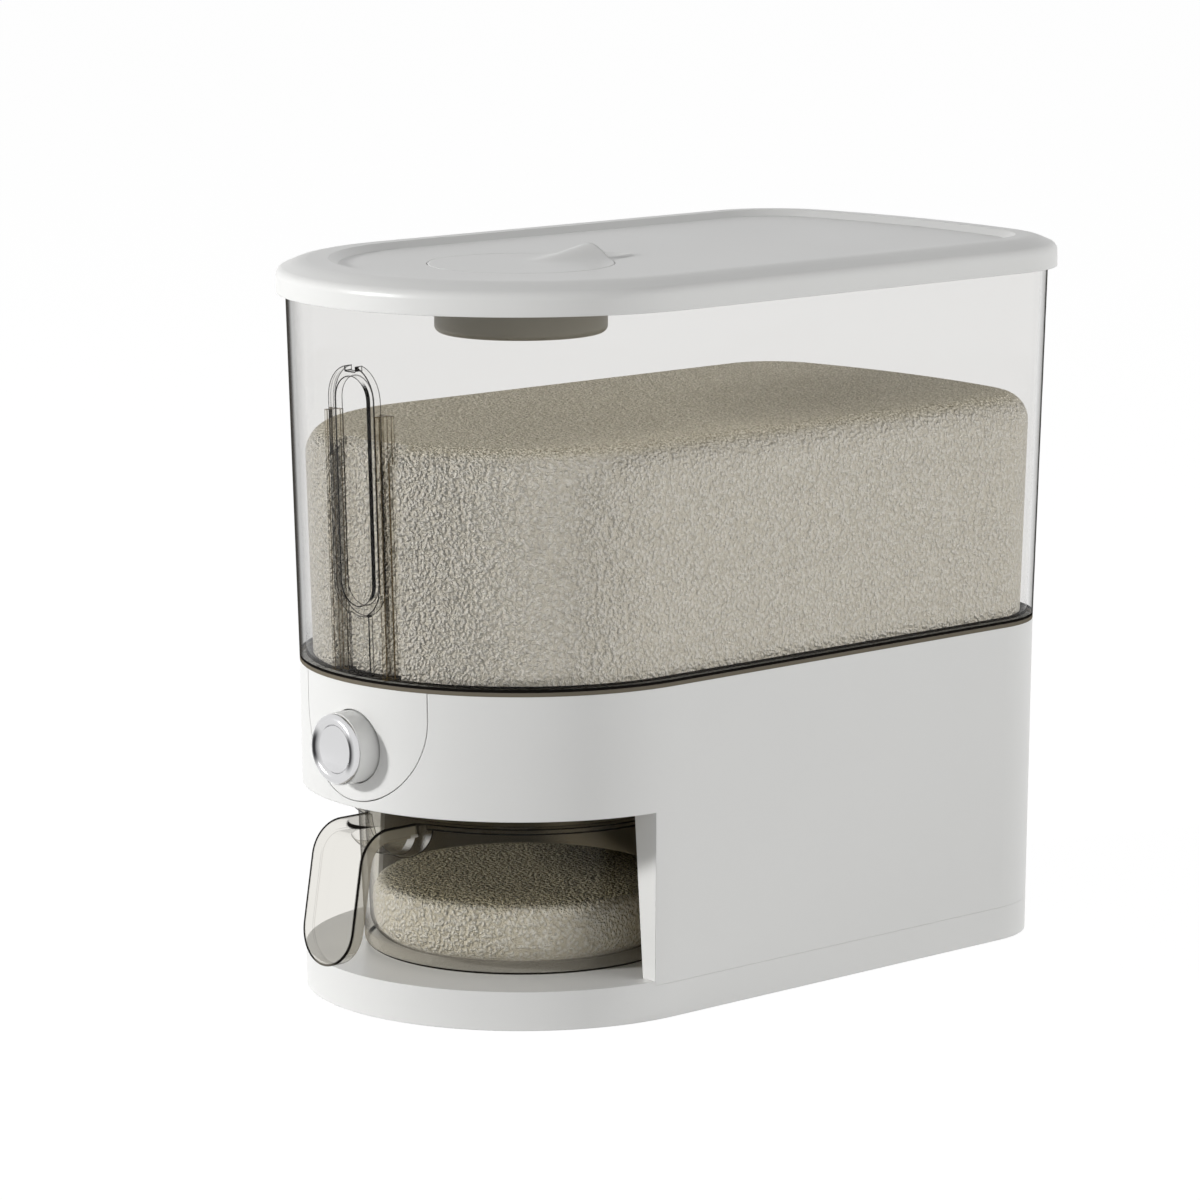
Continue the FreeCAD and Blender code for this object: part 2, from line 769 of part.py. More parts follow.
def make_hopper():
    body = new_body("hopper_funnel")
    under = s.ledge_width - 3
    joint_side, joint_end = base_side(s.joint_level), base_end(s.joint_level)
    flange = outline(body, "hopper_flange", ledge_under - s.hopper_wall, joint_side + under,
                     joint_end + under)
    pad(body, "flange", flange, s.hopper_wall)
    raised = outline(body, "hopper_rim", ledge_under, joint_side + rim_inset, joint_end + rim_inset)
    pad(body, "rim", raised, hopper_rim - ledge_under)
    wall = s.hopper_wall
    mouth_x = (-s.hopper_mouth_half, s.hopper_mouth_half)
    mouth_y = (-hopper_mouth_front, hopper_mouth_rear)
    foot_x = (-s.outlet_half_width, s.outlet_half_width)
    foot_y = (well - s.outlet_half_length, well + s.outlet_half_length)

    def grown(pair, grow):
        return (pair[0] - grow, pair[1] + grow)

    top = rectangle(body, "funnel_top", ledge_under, grown(mouth_x, wall), grown(mouth_y, wall))
    foot = rectangle(body, "funnel_foot", hopper_foot, grown(foot_x, wall), grown(foot_y, wall))
    loft(body, "funnel", foot, top)
    inner_top = rectangle(body, "throat_top", hopper_rim, mouth_x, mouth_y)
    inner_foot = rectangle(body, "throat_foot", hopper_outlet, foot_x, foot_y)
    loft(body, "throat", inner_foot, inner_top, takes_away=True)
    near, far = s.outlet_half_width + wall, s.gate_half_width + s.rail_clearance + s.frame_rail
    ears = mirror_pair("hopper_ear", (near, far), (-frame_front, -frame_rear),
                       (hopper_foot, hopper_foot + s.hopper_ear))
    pilots = [upright("hopper_pilot_%d" % i, s.screw_radius + s.fit_gap,
                      (hopper_foot, hopper_foot + s.hopper_ear), x, y)
              for i, (x, y) in enumerate(frame_screw_spots())]
    slots = slot_boxes("hopper_slot", 0, (hopper_foot - 1, hopper_outlet + 1))
    slotted = cut("hopper_slotted", fuse("hopper_solid", body, *ears), *slots)
    return cut("hopper", slotted, *pilots)


def make_hopper_seal():
    body = new_body("hopper_seal")
    sketch = sketch_at(body, "seal_ring", hopper_rim)
    side, end = base_side(s.joint_level) + rim_inset, base_end(s.joint_level) + rim_inset
    draw_outline(sketch, side + s.running_gap, end + s.running_gap, end + s.running_gap)
    draw_outline(sketch, side + s.seal_width, end + s.seal_width, end + s.seal_width)
    pad(body, "seal", sketch, s.seal_thickness)
    return body


# ---- gate, its frame and the push rod ----

def frame_screw_spots():
    x = s.gate_half_width + s.rail_clearance + s.frame_rail / 2
    front, rear = s.frame_screw_front - frame_front, -frame_rear - s.frame_screw_rear
    return [(x, front), (-x, front), (x, rear), (-x, rear)]


def make_gate_frame():
    inner = s.gate_half_width + s.rail_clearance
    outer = inner + s.frame_rail
    length = (-frame_front, -frame_rear)
    rails = mirror_pair("frame_rail", (inner, outer), length, (frame_under, hopper_foot))
    floor = box("frame_floor", (-outer, outer), length, (frame_under, frame_top))
    window_y = (well - s.outlet_half_length + 2.5, well + s.outlet_half_length - 2.5)
    skirt = box("chute_skirt", (-s.slot_half_width - 2, s.slot_half_width + 2),
                (window_y[0] - 2, window_y[1] + 2), (frame_under - s.chute_depth, frame_under))
    window = box("frame_window", (-s.slot_half_width, s.slot_half_width), window_y,
                 (frame_under - s.chute_depth, frame_top))
    holes = [upright("frame_hole_%d" % i, s.screw_radius + s.fit_gap, (frame_under, hopper_foot), x, y)
             for i, (x, y) in enumerate(frame_screw_spots())]
    return cut("gate_frame", fuse("frame_solid", floor, skirt, *rails), window, *holes)


def make_frame_screws():
    return group("frame_screws", *[screw_up("frame_screw_%d" % i, x, y, frame_under,
                                            hopper_foot - frame_under + s.hopper_ear - 1)
                                   for i, (x, y) in enumerate(frame_screw_spots())])


def make_gate_slide():
    plate = box("gate_plate", (-s.gate_half_width, s.gate_half_width), (-gate_front, -gate_rear),
                (gate_under, gate_top))
    lug = box("gate_lug", (-s.rod_radius - 2, s.rod_radius + 2), (-gate_front, -gate_front + s.gate_lug),
              (gate_under, button_level + s.rod_radius + 1))
    slots = slot_boxes("gate_slot", -s.button_travel, (gate_under - 1, gate_top + 1))
    hole = level("lug_hole", s.screw_radius + s.fit_gap, (-gate_front - 1, -gate_front + s.gate_lug + 1),
                 0, button_level)
    return cut("gate_slide", fuse("gate_solid", plate, lug), hole, *slots)


def make_push_rod():
    rod = level("rod_bar", s.rod_radius, (-rod_front, -gate_front), 0, button_level)
    pilot = level("rod_pilot", s.screw_radius + s.fit_gap, (-gate_front - 9, -gate_front), 0, button_level)
    return cut("push_rod", rod, pilot)


def screw_forward(name, x, seat, length):
    """A pan-head screw driven towards the front: its head sits behind the seat."""
    head = level(name + "_head", s.screw_head_radius, (seat, seat + s.screw_head_height), x, button_level)
    shank = level(name + "_shank", s.screw_radius, (seat - length, seat), x, button_level)
    return fuse(name, head, shank)


def make_rod_screw():
    return screw_forward("rod_screw", 0, -gate_front + s.gate_lug, s.gate_lug + 8)


def make_rod_guide():
    centre, half = base_front_circle(panel_bottom, s.base_wall + s.fit_gap)
    plate = (-guide_back - s.guide_plate, -guide_back)
    tube = level("guide_tube", s.guide_radius, (-s.body_length / 2, -guide_back), 0, button_level)
    ears = mirror_pair("guide_ear", (s.guide_radius - 1, s.ear_x + s.ear_half),
                       (-ear_front, -ear_front + s.ear_thickness),
                       (button_level - s.ear_half, button_level + s.ear_half))
    bore = level("guide_bore_space", s.guide_bore, (-s.body_length / 2, plate[0]), 0, button_level)
    rod_hole = level("guide_rod_hole", s.rod_radius + s.running_gap, (plate[0] - 1, plate[1] + 1), 0,
                     button_level)
    holes = [level("ear_hole_%d" % i, s.screw_radius + s.fit_gap,
                   (-ear_front - 1, -ear_front + s.ear_thickness + 1), x, button_level)
             for i, x in enumerate((s.ear_x, -s.ear_x))]
    room = upright("guide_room", half, (0, s.total_height), 0, centre)
    solid = cut("guide_solid", fuse("guide_block", tube, *ears), bore, rod_hole, *holes)
    return common("rod_guide", solid, room)


def make_guide_screws():
    return group("guide_screws", *[screw_forward("guide_screw_%d" % i, x, -ear_front + s.ear_thickness,
                                                 s.ear_thickness + 3)
                                   for i, x in enumerate((s.ear_x, -s.ear_x))])


def make_return_spring():
    front = -button_flange_front + s.button_flange + s.spring_wire / 2 + 0.1
    back = -guide_back - s.guide_plate - s.spring_wire / 2 - 0.1
    helix = primitive("Helix", "spring_line", Radius=s.spring_radius, Height=back - front,
                      Pitch=(back - front) / s.spring_turns)
    wire = primitive("Circle", "spring_section", Radius=s.spring_wire / 2)
    place(wire, s.spring_radius, 0, 0, (FreeCAD.Vector(1, 0, 0), 90))
    sweep = doc.addObject("Part::Sweep", "return_spring")
    sweep.Sections = [wire]
    sweep.Spine = (helix, [])
    sweep.Solid = True
    sweep.Frenet = True
    return place(sweep, 0, front, button_level, ALONG_Y)


# ---- button ----

def make_button_cap():
    face = -button_face
    flange_y = -button_flange_front
    drum = level("button_drum", s.button_radius, (face, flange_y + s.button_flange), 0, button_level)
    flange = level("button_flange_ring", s.button_flange_radius, (flange_y, flange_y + s.button_flange), 0,
                   button_level)
    recess = level("button_recess", s.disc_radius - 0.9, (face - 1, face + s.disc_recess), 0, button_level)
    socket = level("button_socket", s.rod_radius + s.fit_gap, (-rod_front, flange_y + s.button_flange + 1),
                   0, button_level)
    return cut("button_cap", fuse("button_solid", drum, flange), recess, socket)


def make_button_disc():
    """A bright disc with a rounded rim and a dished middle, set in the button's face."""
    face = -button_face
    stem = level("disc_stem", s.disc_radius - 1, (face, face + s.disc_recess), 0, button_level)
    plate = level("disc_plate", s.disc_radius - s.disc_rim, (face - s.disc_web, face), 0, button_level)
    dish = primitive("Sphere", "disc_hollow", Radius=s.disc_dish)
    place(dish, 0, face - s.disc_web + s.disc_dip - s.disc_dish, button_level)
    rim = primitive("Torus", "disc_rim_ring", Radius1=s.disc_radius - s.disc_rim, Radius2=s.disc_rim)
    place(rim, 0, face, button_level, ALONG_Y)
    front_room = box("disc_room", (-s.body_width, s.body_width), (-s.body_length, face), (0, s.total_height))
    crown = common("disc_crown", fuse("disc_ring", cut("disc_dished", plate, dish), rim), front_room)
    return fuse("button_disc", crown, stem)


# ---- measuring cup with its handle ----

def cup_slope(height):
    """Outside radius of the cup at a height above its foot."""
    return cup_foot_radius + (cup_rim_radius - cup_foot_radius) * height / s.cup_height


def make_cup_solid():
    body = new_body("cup_outside")
    place(body, 0, well, 0)
    rim = s.cup_floor + s.cup_height
    lip = cup_rim_radius + s.cup_lip
    turned = revolve(body, "cup_turned", [
        (0, s.cup_floor), (cup_foot_radius, s.cup_floor),
        (cup_slope(s.cup_height - s.cup_lip_height), rim - s.cup_lip_height),
        (lip, rim - s.cup_lip_height), (lip, rim), (0, rim)])
    round_edges(body, "cup_heel", turned, s.cup_heel_round,
                lambda edge: edge.BoundBox.ZMax < s.cup_floor.value + 0.1)
    return body


def make_cup_hollow():
    body = new_body("cup_inside")
    place(body, 0, well, 0)
    rim = s.cup_floor + s.cup_height
    floor = s.cup_floor + s.cup_bottom
    turned = revolve(body, "hollow_turned", [
        (0, floor), (cup_slope(s.cup_bottom) - s.cup_wall, floor),
        (cup_slope(s.cup_height) - s.cup_wall, rim), (0, rim)])
    round_edges(body, "hollow_heel", turned, s.cup_inner_round,
                lambda edge: edge.BoundBox.ZMax < floor.value + 0.1)
    return body


def make_handle_plate():
    """The handle from the side: a level top, one bend, and a tongue that leans out a little."""
    lean = math.radians(s.handle_lean.value)
    rim = (s.cup_floor + s.cup_height).value
    bend, thick = s.handle_bend.value, s.handle_thickness.value
    reach = handle_reach.value
    drop = rim - bend - s.handle_bottom.value + bend
    point = FreeCAD.Vector

    def side_point(radius, angle):
        return point(0, -reach - radius * math.sin(angle), rim - bend + radius * math.cos(angle))

    turn = math.pi / 2 - lean
    down = point(0, -math.sin(lean), -math.cos(lean))
    inner = bend - thick
    root = -well_y.value - cup_foot_radius.value + 4
    outer_end = side_point(bend, turn) + down * drop
    inner_end = side_point(inner, turn) + down * drop
    edges = [
        Part.LineSegment(point(0, root, rim), side_point(bend, 0)).toShape(),
        Part.Arc(side_point(bend, 0), side_point(bend, turn / 2), side_point(bend, turn)).toShape(),
        Part.LineSegment(side_point(bend, turn), outer_end).toShape(),
        Part.LineSegment(outer_end, inner_end).toShape(),
        Part.LineSegment(inner_end, side_point(inner, turn)).toShape(),
        Part.Arc(side_point(inner, turn), side_point(inner, turn / 2), side_point(inner, 0)).toShape(),
        Part.LineSegment(side_point(inner, 0), point(0, root, rim - thick)).toShape(),
        Part.LineSegment(point(0, root, rim - thick), point(0, root, rim)).toShape(),
    ]
    width = s.handle_half_width.value
    strip = Part.Face(Part.Wire(edges)).extrude(point(2 * width, 0, 0))
    strip.translate(point(-width, 0, 0))
    thing = doc.addObject("Part::Feature", "handle_strip")
    thing.Shape = strip
    return thing


def make_measuring_cup():
    rim = s.cup_floor + s.cup_height
    half = s.handle_half_width
    room = (-s.body_length, well)
    tongue = fuse("tongue_shape", box("tongue_top", (-half, half), room, (s.handle_bottom + half, rim)),
                  level("tongue_end", half, room, 0, s.handle_bottom + half))
    handle = common("handle_tongue", make_handle_plate(), tongue)
    root = well - cup_rim_radius + 1.5
    neck = ellipsoid("neck_bowl", half, s.neck_reach, s.neck_depth, 0, root, rim)
    collar = ellipsoid("neck_collar", half + s.collar_grow, s.collar_reach, s.neck_depth + 1.2, 0, root, rim)
    below = box("neck_room", (-s.body_width, s.body_width), (-s.body_length, s.body_length), (0, rim))
    bowl = common("neck", fuse("neck_solid", neck, collar), below)
    solid = fuse("cup_solid", make_cup_solid(), handle, bowl)
    return cut("measuring_cup", solid, make_cup_hollow())


# ---- tank with the rails, and the loop that slides in them ----

def lean_angle():
    """Lean of the tank's front wall from upright, in degrees, as a sheet formula and a value."""
    rise = tank_rim - s.joint_level
    run = s.tank_foot_end - s.tank_rim_end
    value = math.degrees(math.atan(run.value / rise.value))
    return Size(value, "atan(%s / %s)" % (run.text, rise.text))


def leaning_box(name, x, depth, height):
    """A box that lies along the tank's front wall: depth is from the wall's inner face."""
    (x0, x1), (d0, d1), (h0, h1) = [[as_size(end) for end in pair] for pair in (x, depth, height)]
    thing = primitive("Box", name, Length=x1 - x0, Width=d1 - d0, Height=h1 - h0)
    lean = lean_angle()
    wall = -(s.body_length / 2) + tank_end(tank_inside) + s.tank_wall
    rotation = FreeCAD.Rotation(FreeCAD.Vector(1, 0, 0), lean.value)
    spot = rotation.multVec(FreeCAD.Vector(x0.value, d0.value, h0.value))
    base = FreeCAD.Vector(0, wall.value, tank_inside.value) + spot
    thing.Placement = FreeCAD.Placement(base, rotation)
    bind(thing, "Placement.Base.x", x0)
    cosine, sine = "cos(%s)" % lean.text, "sin(%s)" % lean.text
    thing.setExpression("Placement.Base.y", "%s + (%s) * %s - (%s) * %s"
                        % (wall.text, d0.text, cosine, h0.text, sine))
    thing.setExpression("Placement.Base.z", "%s + (%s) * %s + (%s) * %s"
                        % (tank_inside.text, d0.text, sine, h0.text, cosine))
    thing.setExpression("Placement.Rotation.Angle", lean.text)
    return thing


def leaning_cylinder(name, radius, depth, height):
    """A cylinder across the tank's front wall, on X = 0."""
    (d0, d1), h0 = [as_size(end) for end in depth], as_size(height)
    thing = primitive("Cylinder", name, Radius=radius, Height=d1 - d0)
    lean = lean_angle()
    wall = -(s.body_length / 2) + tank_end(tank_inside) + s.tank_wall
    rotation = FreeCAD.Rotation(FreeCAD.Vector(1, 0, 0), lean.value)
    spot = rotation.multVec(FreeCAD.Vector(0, d0.value, h0.value))
    base = FreeCAD.Vector(0, wall.value, tank_inside.value) + spot
    thing.Placement = FreeCAD.Placement(base, FreeCAD.Rotation(FreeCAD.Vector(1, 0, 0), lean.value - 90))
    cosine, sine = "cos(%s)" % lean.text, "sin(%s)" % lean.text
    thing.setExpression("Placement.Base.y", "%s + (%s) * %s - (%s) * %s"
                        % (wall.text, d0.text, cosine, h0.text, sine))
    thing.setExpression("Placement.Base.z", "%s + (%s) * %s + (%s) * %s"
                        % (tank_inside.text, d0.text, sine, h0.text, cosine))
    return thing


def loop_depth():
    """Front face of the flat loop, clear of the round wall at the loop's sides."""
    inside = s.body_width / 2 - tank_side(tank_inside) - s.tank_wall
    half = s.loop_half_width
    return inside - square_root(inside * inside - half * half) + s.running_gap


def make_rail(name, sign):
    """A T-shaped rail on the front wall: its lip holds the loop to the wall."""
    lip_near = loop_depth() + s.loop_thickness + s.rail_gap
    web = s.loop_half_width + s.rail_gap
    lip = (lip_near, lip_near + s.rail_lip)
    height = (0, s.rail_head_high)

    def across(near, far):
        return (near, far) if sign > 0 else (-far, -near)

    solid = fuse(name + "_solid",
                 leaning_box(name + "_web", across(web, web + s.rail_web),
                             (-s.tank_wall, lip_near + s.rail_lip), height),
                 leaning_box(name + "_lip", across(s.rail_inner, s.rail_outer), lip, height),
                 leaning_box(name + "_head", across(s.rail_inner, s.rail_head_outer), lip,
                             (s.rail_head_low, s.rail_head_high)))
    body = new_body(name + "_room")
    low = outline(body, name + "_room_low", tank_inside, tank_side(tank_inside) + s.tank_wall,
                  tank_end(tank_inside) + s.tank_wall)
    high = outline(body, name + "_room_high", tank_rim, s.tank_rim_side + s.tank_wall,
                   s.tank_rim_end + s.tank_wall)
    loft(body, name + "_room_space", low, high)
    return common(name, solid, body)


def make_tank():
    body = new_body("tank_box")
    joint = s.joint_level
    foot = outline(body, "tank_foot", joint, s.tank_foot_side, s.tank_foot_end)
    rim = outline(body, "tank_rim", tank_rim, s.tank_rim_side, s.tank_rim_end)
    loft(body, "tank_outside", foot, rim)
    low = outline(body, "tank_foot_inside", tank_inside, tank_side(tank_inside) + s.tank_wall,
                  tank_end(tank_inside) + s.tank_wall)
    high = outline(body, "tank_rim_inside", tank_rim, s.tank_rim_side + s.tank_wall,
                   s.tank_rim_end + s.tank_wall)
    loft(body, "tank_inside", low, high, takes_away=True)
    rib = sketch_at(body, "locating_rib", joint - s.tank_rib_depth)
    outer = s.ledge_width + s.running_gap
    draw_outline(rib, s.tank_foot_side + outer, s.tank_foot_end + outer, s.tank_foot_end + outer)
    inner = outer + 1.7
    draw_outline(rib, s.tank_foot_side + inner, s.tank_foot_end + inner, s.tank_foot_end + inner)
    pad(body, "rib", rib, s.tank_rib_depth)
    hole = box("tank_hole", (-s.hopper_mouth_half, s.hopper_mouth_half),
               (-hopper_mouth_front, hopper_mouth_rear), (joint - 1, tank_inside + 1))
    return cut("tank", body, hole)


def make_leveller():
    """The loop: an open band with round ends, a notch in its head and a stem to the tank's floor."""
    near = loop_depth()
    depth = (near, near + s.loop_thickness)
    wide = (near - 1, near + s.loop_thickness + 1)
    half, hole = s.loop_half_width, s.loop_half_width - s.loop_band
    low, high = s.loop_foot + half, loop_head - half
    outer = fuse("loop_outside", leaning_box("loop_block", (-half, half), depth, (low, high)),
                 leaning_cylinder("loop_low_end", half, depth, low),
                 leaning_cylinder("loop_high_end", half, depth, high))
    stem = leaning_box("loop_stem", (-s.stem_half_width, s.stem_half_width),
                       (near, near + s.stem_thickness), (s.running_gap, s.loop_foot + 1))
    inner = fuse("loop_inside", leaning_box("loop_gap", (-hole, hole), wide, (low, high)),
                 leaning_cylinder("loop_gap_low", hole, wide, low),
                 leaning_cylinder("loop_gap_high", hole, wide, high))
    notch = leaning_box("loop_notch", (-s.loop_notch / 2, s.loop_notch / 2), wide,
                        (loop_head - s.loop_band * 0.55, loop_head + 1))
    return cut("leveller", fuse("loop_solid", outer, stem), inner, notch)


SHOULDER_STEPS = 4


def make_rice_heap():
    """The rice in the tank: a block with a soft shoulder, slotted where the rails and the loop stand."""
    body = new_body("rice_block")
    foot = tank_inside + s.running_gap
    inset = s.tank_wall + s.rice_gap
    low = outline(body, "rice_foot", foot, tank_side(foot) + inset, tank_end(foot) + inset)
    rings = []
    for step in range(SHOULDER_STEPS + 1):
        angle = math.pi / 2 * step / SHOULDER_STEPS
        level = s.rice_level - s.rice_shoulder * (1 - math.sin(angle))
        edge = inset + s.rice_shoulder * (1 - math.cos(angle))
        rings.append(outline(body, "rice_ring_%d" % step, level, tank_side(level) + edge,
                             tank_end(level) + edge))
    loft(body, "rice_sides", low, *rings)
    half = s.rail_head_outer + s.rice_slot_room
    depth = loop_depth() + s.loop_thickness + s.rail_gap + s.rail_lip + s.rice_slot_room
    slot = leaning_box("rice_slot", (-half, half), (-s.tank_wall, depth), (0, s.rice_level - tank_inside))
    return cut("rice_heap", body, slot)


# ---- lid ----

def is_level(edge, height):
    """True if an edge lies flat at a height."""
    return all(abs(vertex.Point.z - height) < 0.01 for vertex in edge.Vertexes)


def make_lid():
    body = new_body("lid_cover")
    top = outline(body, "lid_outline", lid_foot, as_size(0), as_size(0))
    pad(body, "lid_block", top, shoulder - lid_foot)
    low = outline(body, "shoulder_outline", shoulder, as_size(0), as_size(0))
    high = outline(body, "crown_outline", s.total_height, s.lid_edge_width, s.lid_edge_width)
    slope = loft(body, "lid_slope", low, high)
    crown = round_edges(body, "lid_crown", slope, s.lid_crown_round,
                        lambda edge: edge.BoundBox.ZMin > s.total_height.value - 0.1)
    round_edges(body, "lid_round", crown, s.lid_edge_round,
                lambda edge: is_level(edge, shoulder.value))
    hollow = outline(body, "lid_hollow", lid_foot, s.lid_wall, s.lid_wall)
    pocket(body, "lid_underside", hollow, lid_roof - lid_foot, upwards=True)
    inset = s.lid_top_wall
    deck = outline(body, "deck_outline", deck_under, s.rim_side - inset, s.rim_front - inset,
                   rim_rear - inset)
    pad(body, "deck", deck, lid_roof - deck_under + s.lid_top_wall / 2)
    plug = sketch_at(body, "plug_ring", lid_roof - s.plug_depth)
    outer_side = s.tank_rim_side + s.tank_wall + s.running_gap + 0.4
    outer_end = s.tank_rim_end + s.tank_wall + s.running_gap + 0.4
    draw_outline(plug, outer_side, outer_end, outer_end)
    draw_outline(plug, outer_side + s.plug_wall, outer_end + s.plug_wall, outer_end + s.plug_wall)
    pad(body, "plug", plug, s.plug_depth + s.lid_top_wall / 2)
    collar = disc(body, "collar_outline", cap_ledge - 4, s.cap_radius + s.cap_gap + s.deck_thickness, well)
    pad(body, "collar", collar, recess_floor - cap_ledge + 4)
    bottom = outline(body, "recess_bottom", recess_floor, s.rim_side + s.recess_ramp,
                     s.rim_front + s.recess_ramp, rim_rear + s.recess_ramp)
    top_edge = outline(body, "recess_top", s.total_height, s.rim_side, s.rim_front, rim_rear)
    loft(body, "recess", bottom, top_edge, takes_away=True)
    seat = disc(body, "seat_outline", s.total_height, s.cap_radius + s.cap_gap, well)
    pocket(body, "seat", seat, s.total_height - cap_ledge)
    bore = disc(body, "bore_outline", s.total_height, canister_radius + s.running_gap + 0.25, well)
    pocket(body, "bore", bore, s.total_height - lid_foot)
    reach = well + s.dimple_reach
    ball_height = s.dimple_depth * 1.35
    ball_radius = s.dimple_radius * 1.04
    dimple = ellipsoid("dimple", ball_radius, ball_radius, ball_height, 0, reach,
                       recess_floor - s.dimple_depth + ball_height)
    return cut("lid", body, dimple)


def make_lid_gasket():
    body = new_body("lid_gasket")
    ring = sketch_at(body, "gasket_ring", tank_rim)
    draw_outline(ring, s.tank_rim_side + 0.3, s.tank_rim_end + 0.3, s.tank_rim_end + 0.3)
    inner = s.tank_wall - 0.1
    draw_outline(ring, s.tank_rim_side + inner, s.tank_rim_end + inner, s.tank_rim_end + inner)
    pad(body, "gasket", ring, s.gasket_thickness)
    return body


# ---- cap and canister ----

def ring(name, outer, inner, z, y):
    return cut(name, upright(name + "_outside", outer, z, 0, y), upright(name + "_inside", inner, z, 0, y))


def make_cap():
    """The round lid of the canister: a swelling for the fingers rises to its rear edge."""
    disc_plate = upright("cap_plate", s.cap_radius, (cap_under, recess_floor), 0, well)
    outer = canister_inner - s.running_gap
    plug = ring("cap_plug", outer, outer - s.plug_wall, (cap_under - s.cap_plug_depth, cap_under), well)
    swelling = primitive("Cone", "hump_cone", Radius1=0, Radius2=s.hump_radius, Height=s.hump_length)
    tail = well + s.cap_radius - s.hump_tail
    turn = (FreeCAD.Vector(1, 0, 0), -90 - s.hump_dip.value)
    place(swelling, 0, tail, recess_floor, turn)
    sky = s.total_height + s.hump_length
    on_cap = common("hump", swelling, upright("hump_disc", s.cap_radius, (cap_under + 1, sky), 0, well))
    return fuse("cap", disc_plate, plug, on_cap)


def make_cap_gasket():
    return ring("cap_gasket", s.cap_radius - 0.5, canister_radius - 1.2, (flange_top, cap_under), well)


def make_canister():
    tube = new_body("canister_tube")
    place(tube, 0, well, 0)
    turned = revolve(tube, "canister_turned", [
        (0, canister_bottom), (canister_radius, canister_bottom),
        (canister_radius, flange_top), (0, flange_top)])
    round_edges(tube, "canister_heel", turned, s.canister_round,
                lambda edge: edge.BoundBox.ZMax < canister_bottom.value + 0.1)
    flange = upright("canister_flange_ring", s.cap_radius - 0.1, (flange_under, flange_top), 0, well)
    floor = canister_bottom + s.canister_wall
    space = upright("canister_space", canister_inner, (floor, flange_top), 0, well)
    hole = upright("canister_vent", canister_radius - s.vent_ledge, (canister_bottom, floor), 0, well)
    return cut("canister", fuse("canister_solid", tube, flange), space, hole)


def make_canister_grille():
    floor = canister_bottom + s.canister_wall
    slot_half = canister_inner - s.grille_border
    height = (floor, floor + s.grille_thickness)
    plate = upright("grille_plate", canister_inner - 0.2, height, 0, well)
    slots = [box("grille_slot_%d" % i, (s.grille_slot * 2 * i - s.grille_slot / 2,
                                        s.grille_slot * 2 * i + s.grille_slot / 2),
                 (well - slot_half, well + slot_half), height) for i in range(-3, 4)]
    return cut("canister_grille", plate, *slots)


def make_desiccant_pack():
    floor = canister_bottom + s.canister_wall + s.grille_thickness
    return upright("desiccant_pack", canister_inner - s.pack_room, (floor, floor + s.pack_height), 0, well)


# ---- the whole part ----

def check(thing):
    """Stop if an object of the document has failed or its shape is unsound."""
    for item in doc.Objects:
        if "Invalid" in item.State or "Error" in item.State:
            raise RuntimeError("%s has failed: %s" % (item.Label, item.State))
    shape = thing.Shape
    if shape.isNull() or not shape.isValid() or not shape.Solids:
        raise RuntimeError("%s has no sound solid" % thing.Label)


def main():
    make_sheet()
    blank = make_shell_blank()
    nodes = [
        make_plinth(), make_feet(), make_plinth_screws(),
        make_base_shell(blank), make_button_panel(blank), make_bay_liner(),
        make_hopper(), make_hopper_seal(), make_gate_frame(), make_frame_screws(),
        make_gate_slide(), make_push_rod(), make_rod_screw(), make_rod_guide(), make_guide_screws(),
        make_return_spring(), make_button_cap(), make_button_disc(),
        make_measuring_cup(), make_tank(), make_rail("rail_right", 1), make_rail("rail_left", -1),
        make_leveller(), make_rice_heap(),
        make_lid(), make_lid_gasket(), make_cap(), make_cap_gasket(),
        make_canister(), make_canister_grille(), make_desiccant_pack(),
    ]
    doc.recompute()
    os.makedirs("parts", exist_ok=True)
    for thing in nodes:
        check(thing)
    for thing in nodes:
        thing.Shape.exportStep("parts/%s.step" % thing.Label)
        box_ = thing.Shape.BoundBox
        print("%-18s %2d solid(s) volume %9.0f  x %.1f..%.1f y %.1f..%.1f z %.2f..%.2f" % (
            thing.Label, len(thing.Shape.Solids), thing.Shape.Volume, box_.XMin, box_.XMax,
            box_.YMin, box_.YMax, box_.ZMin, box_.ZMax))


main()
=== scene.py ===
# %% [markdown]
# A countertop rice dispenser, dressed piece by piece around its packed solids.
# The real one is a white base with a clear tank on it, a lid, a push button
# and a measuring cup that slides out at the front. The solids already hold
# every size and place, in metres, with the front towards -Y. Drawing them once
# more as meshes would only bring in errors, so this file keeps them and adds
# what they lack: finishes, light, the rice, and a few soft or springy forms.

# %% Load the solids
import json
import math

import bmesh
import bpy
from mathutils import Matrix, Vector


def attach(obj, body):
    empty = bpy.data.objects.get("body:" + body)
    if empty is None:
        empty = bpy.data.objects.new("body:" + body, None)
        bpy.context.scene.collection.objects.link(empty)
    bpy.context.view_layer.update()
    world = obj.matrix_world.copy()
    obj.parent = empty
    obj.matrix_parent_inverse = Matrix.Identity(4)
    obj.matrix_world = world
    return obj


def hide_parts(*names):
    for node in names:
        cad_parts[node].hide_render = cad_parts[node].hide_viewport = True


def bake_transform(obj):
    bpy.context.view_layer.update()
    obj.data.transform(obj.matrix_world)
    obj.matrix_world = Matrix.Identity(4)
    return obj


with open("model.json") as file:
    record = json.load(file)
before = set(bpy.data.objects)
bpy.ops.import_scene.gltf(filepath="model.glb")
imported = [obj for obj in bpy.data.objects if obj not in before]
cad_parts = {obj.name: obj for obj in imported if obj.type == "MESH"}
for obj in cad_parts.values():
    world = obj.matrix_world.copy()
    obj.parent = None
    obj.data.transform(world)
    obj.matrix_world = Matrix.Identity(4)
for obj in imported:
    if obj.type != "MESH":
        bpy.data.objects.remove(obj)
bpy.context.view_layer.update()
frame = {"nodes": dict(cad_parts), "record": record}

MM = 0.001
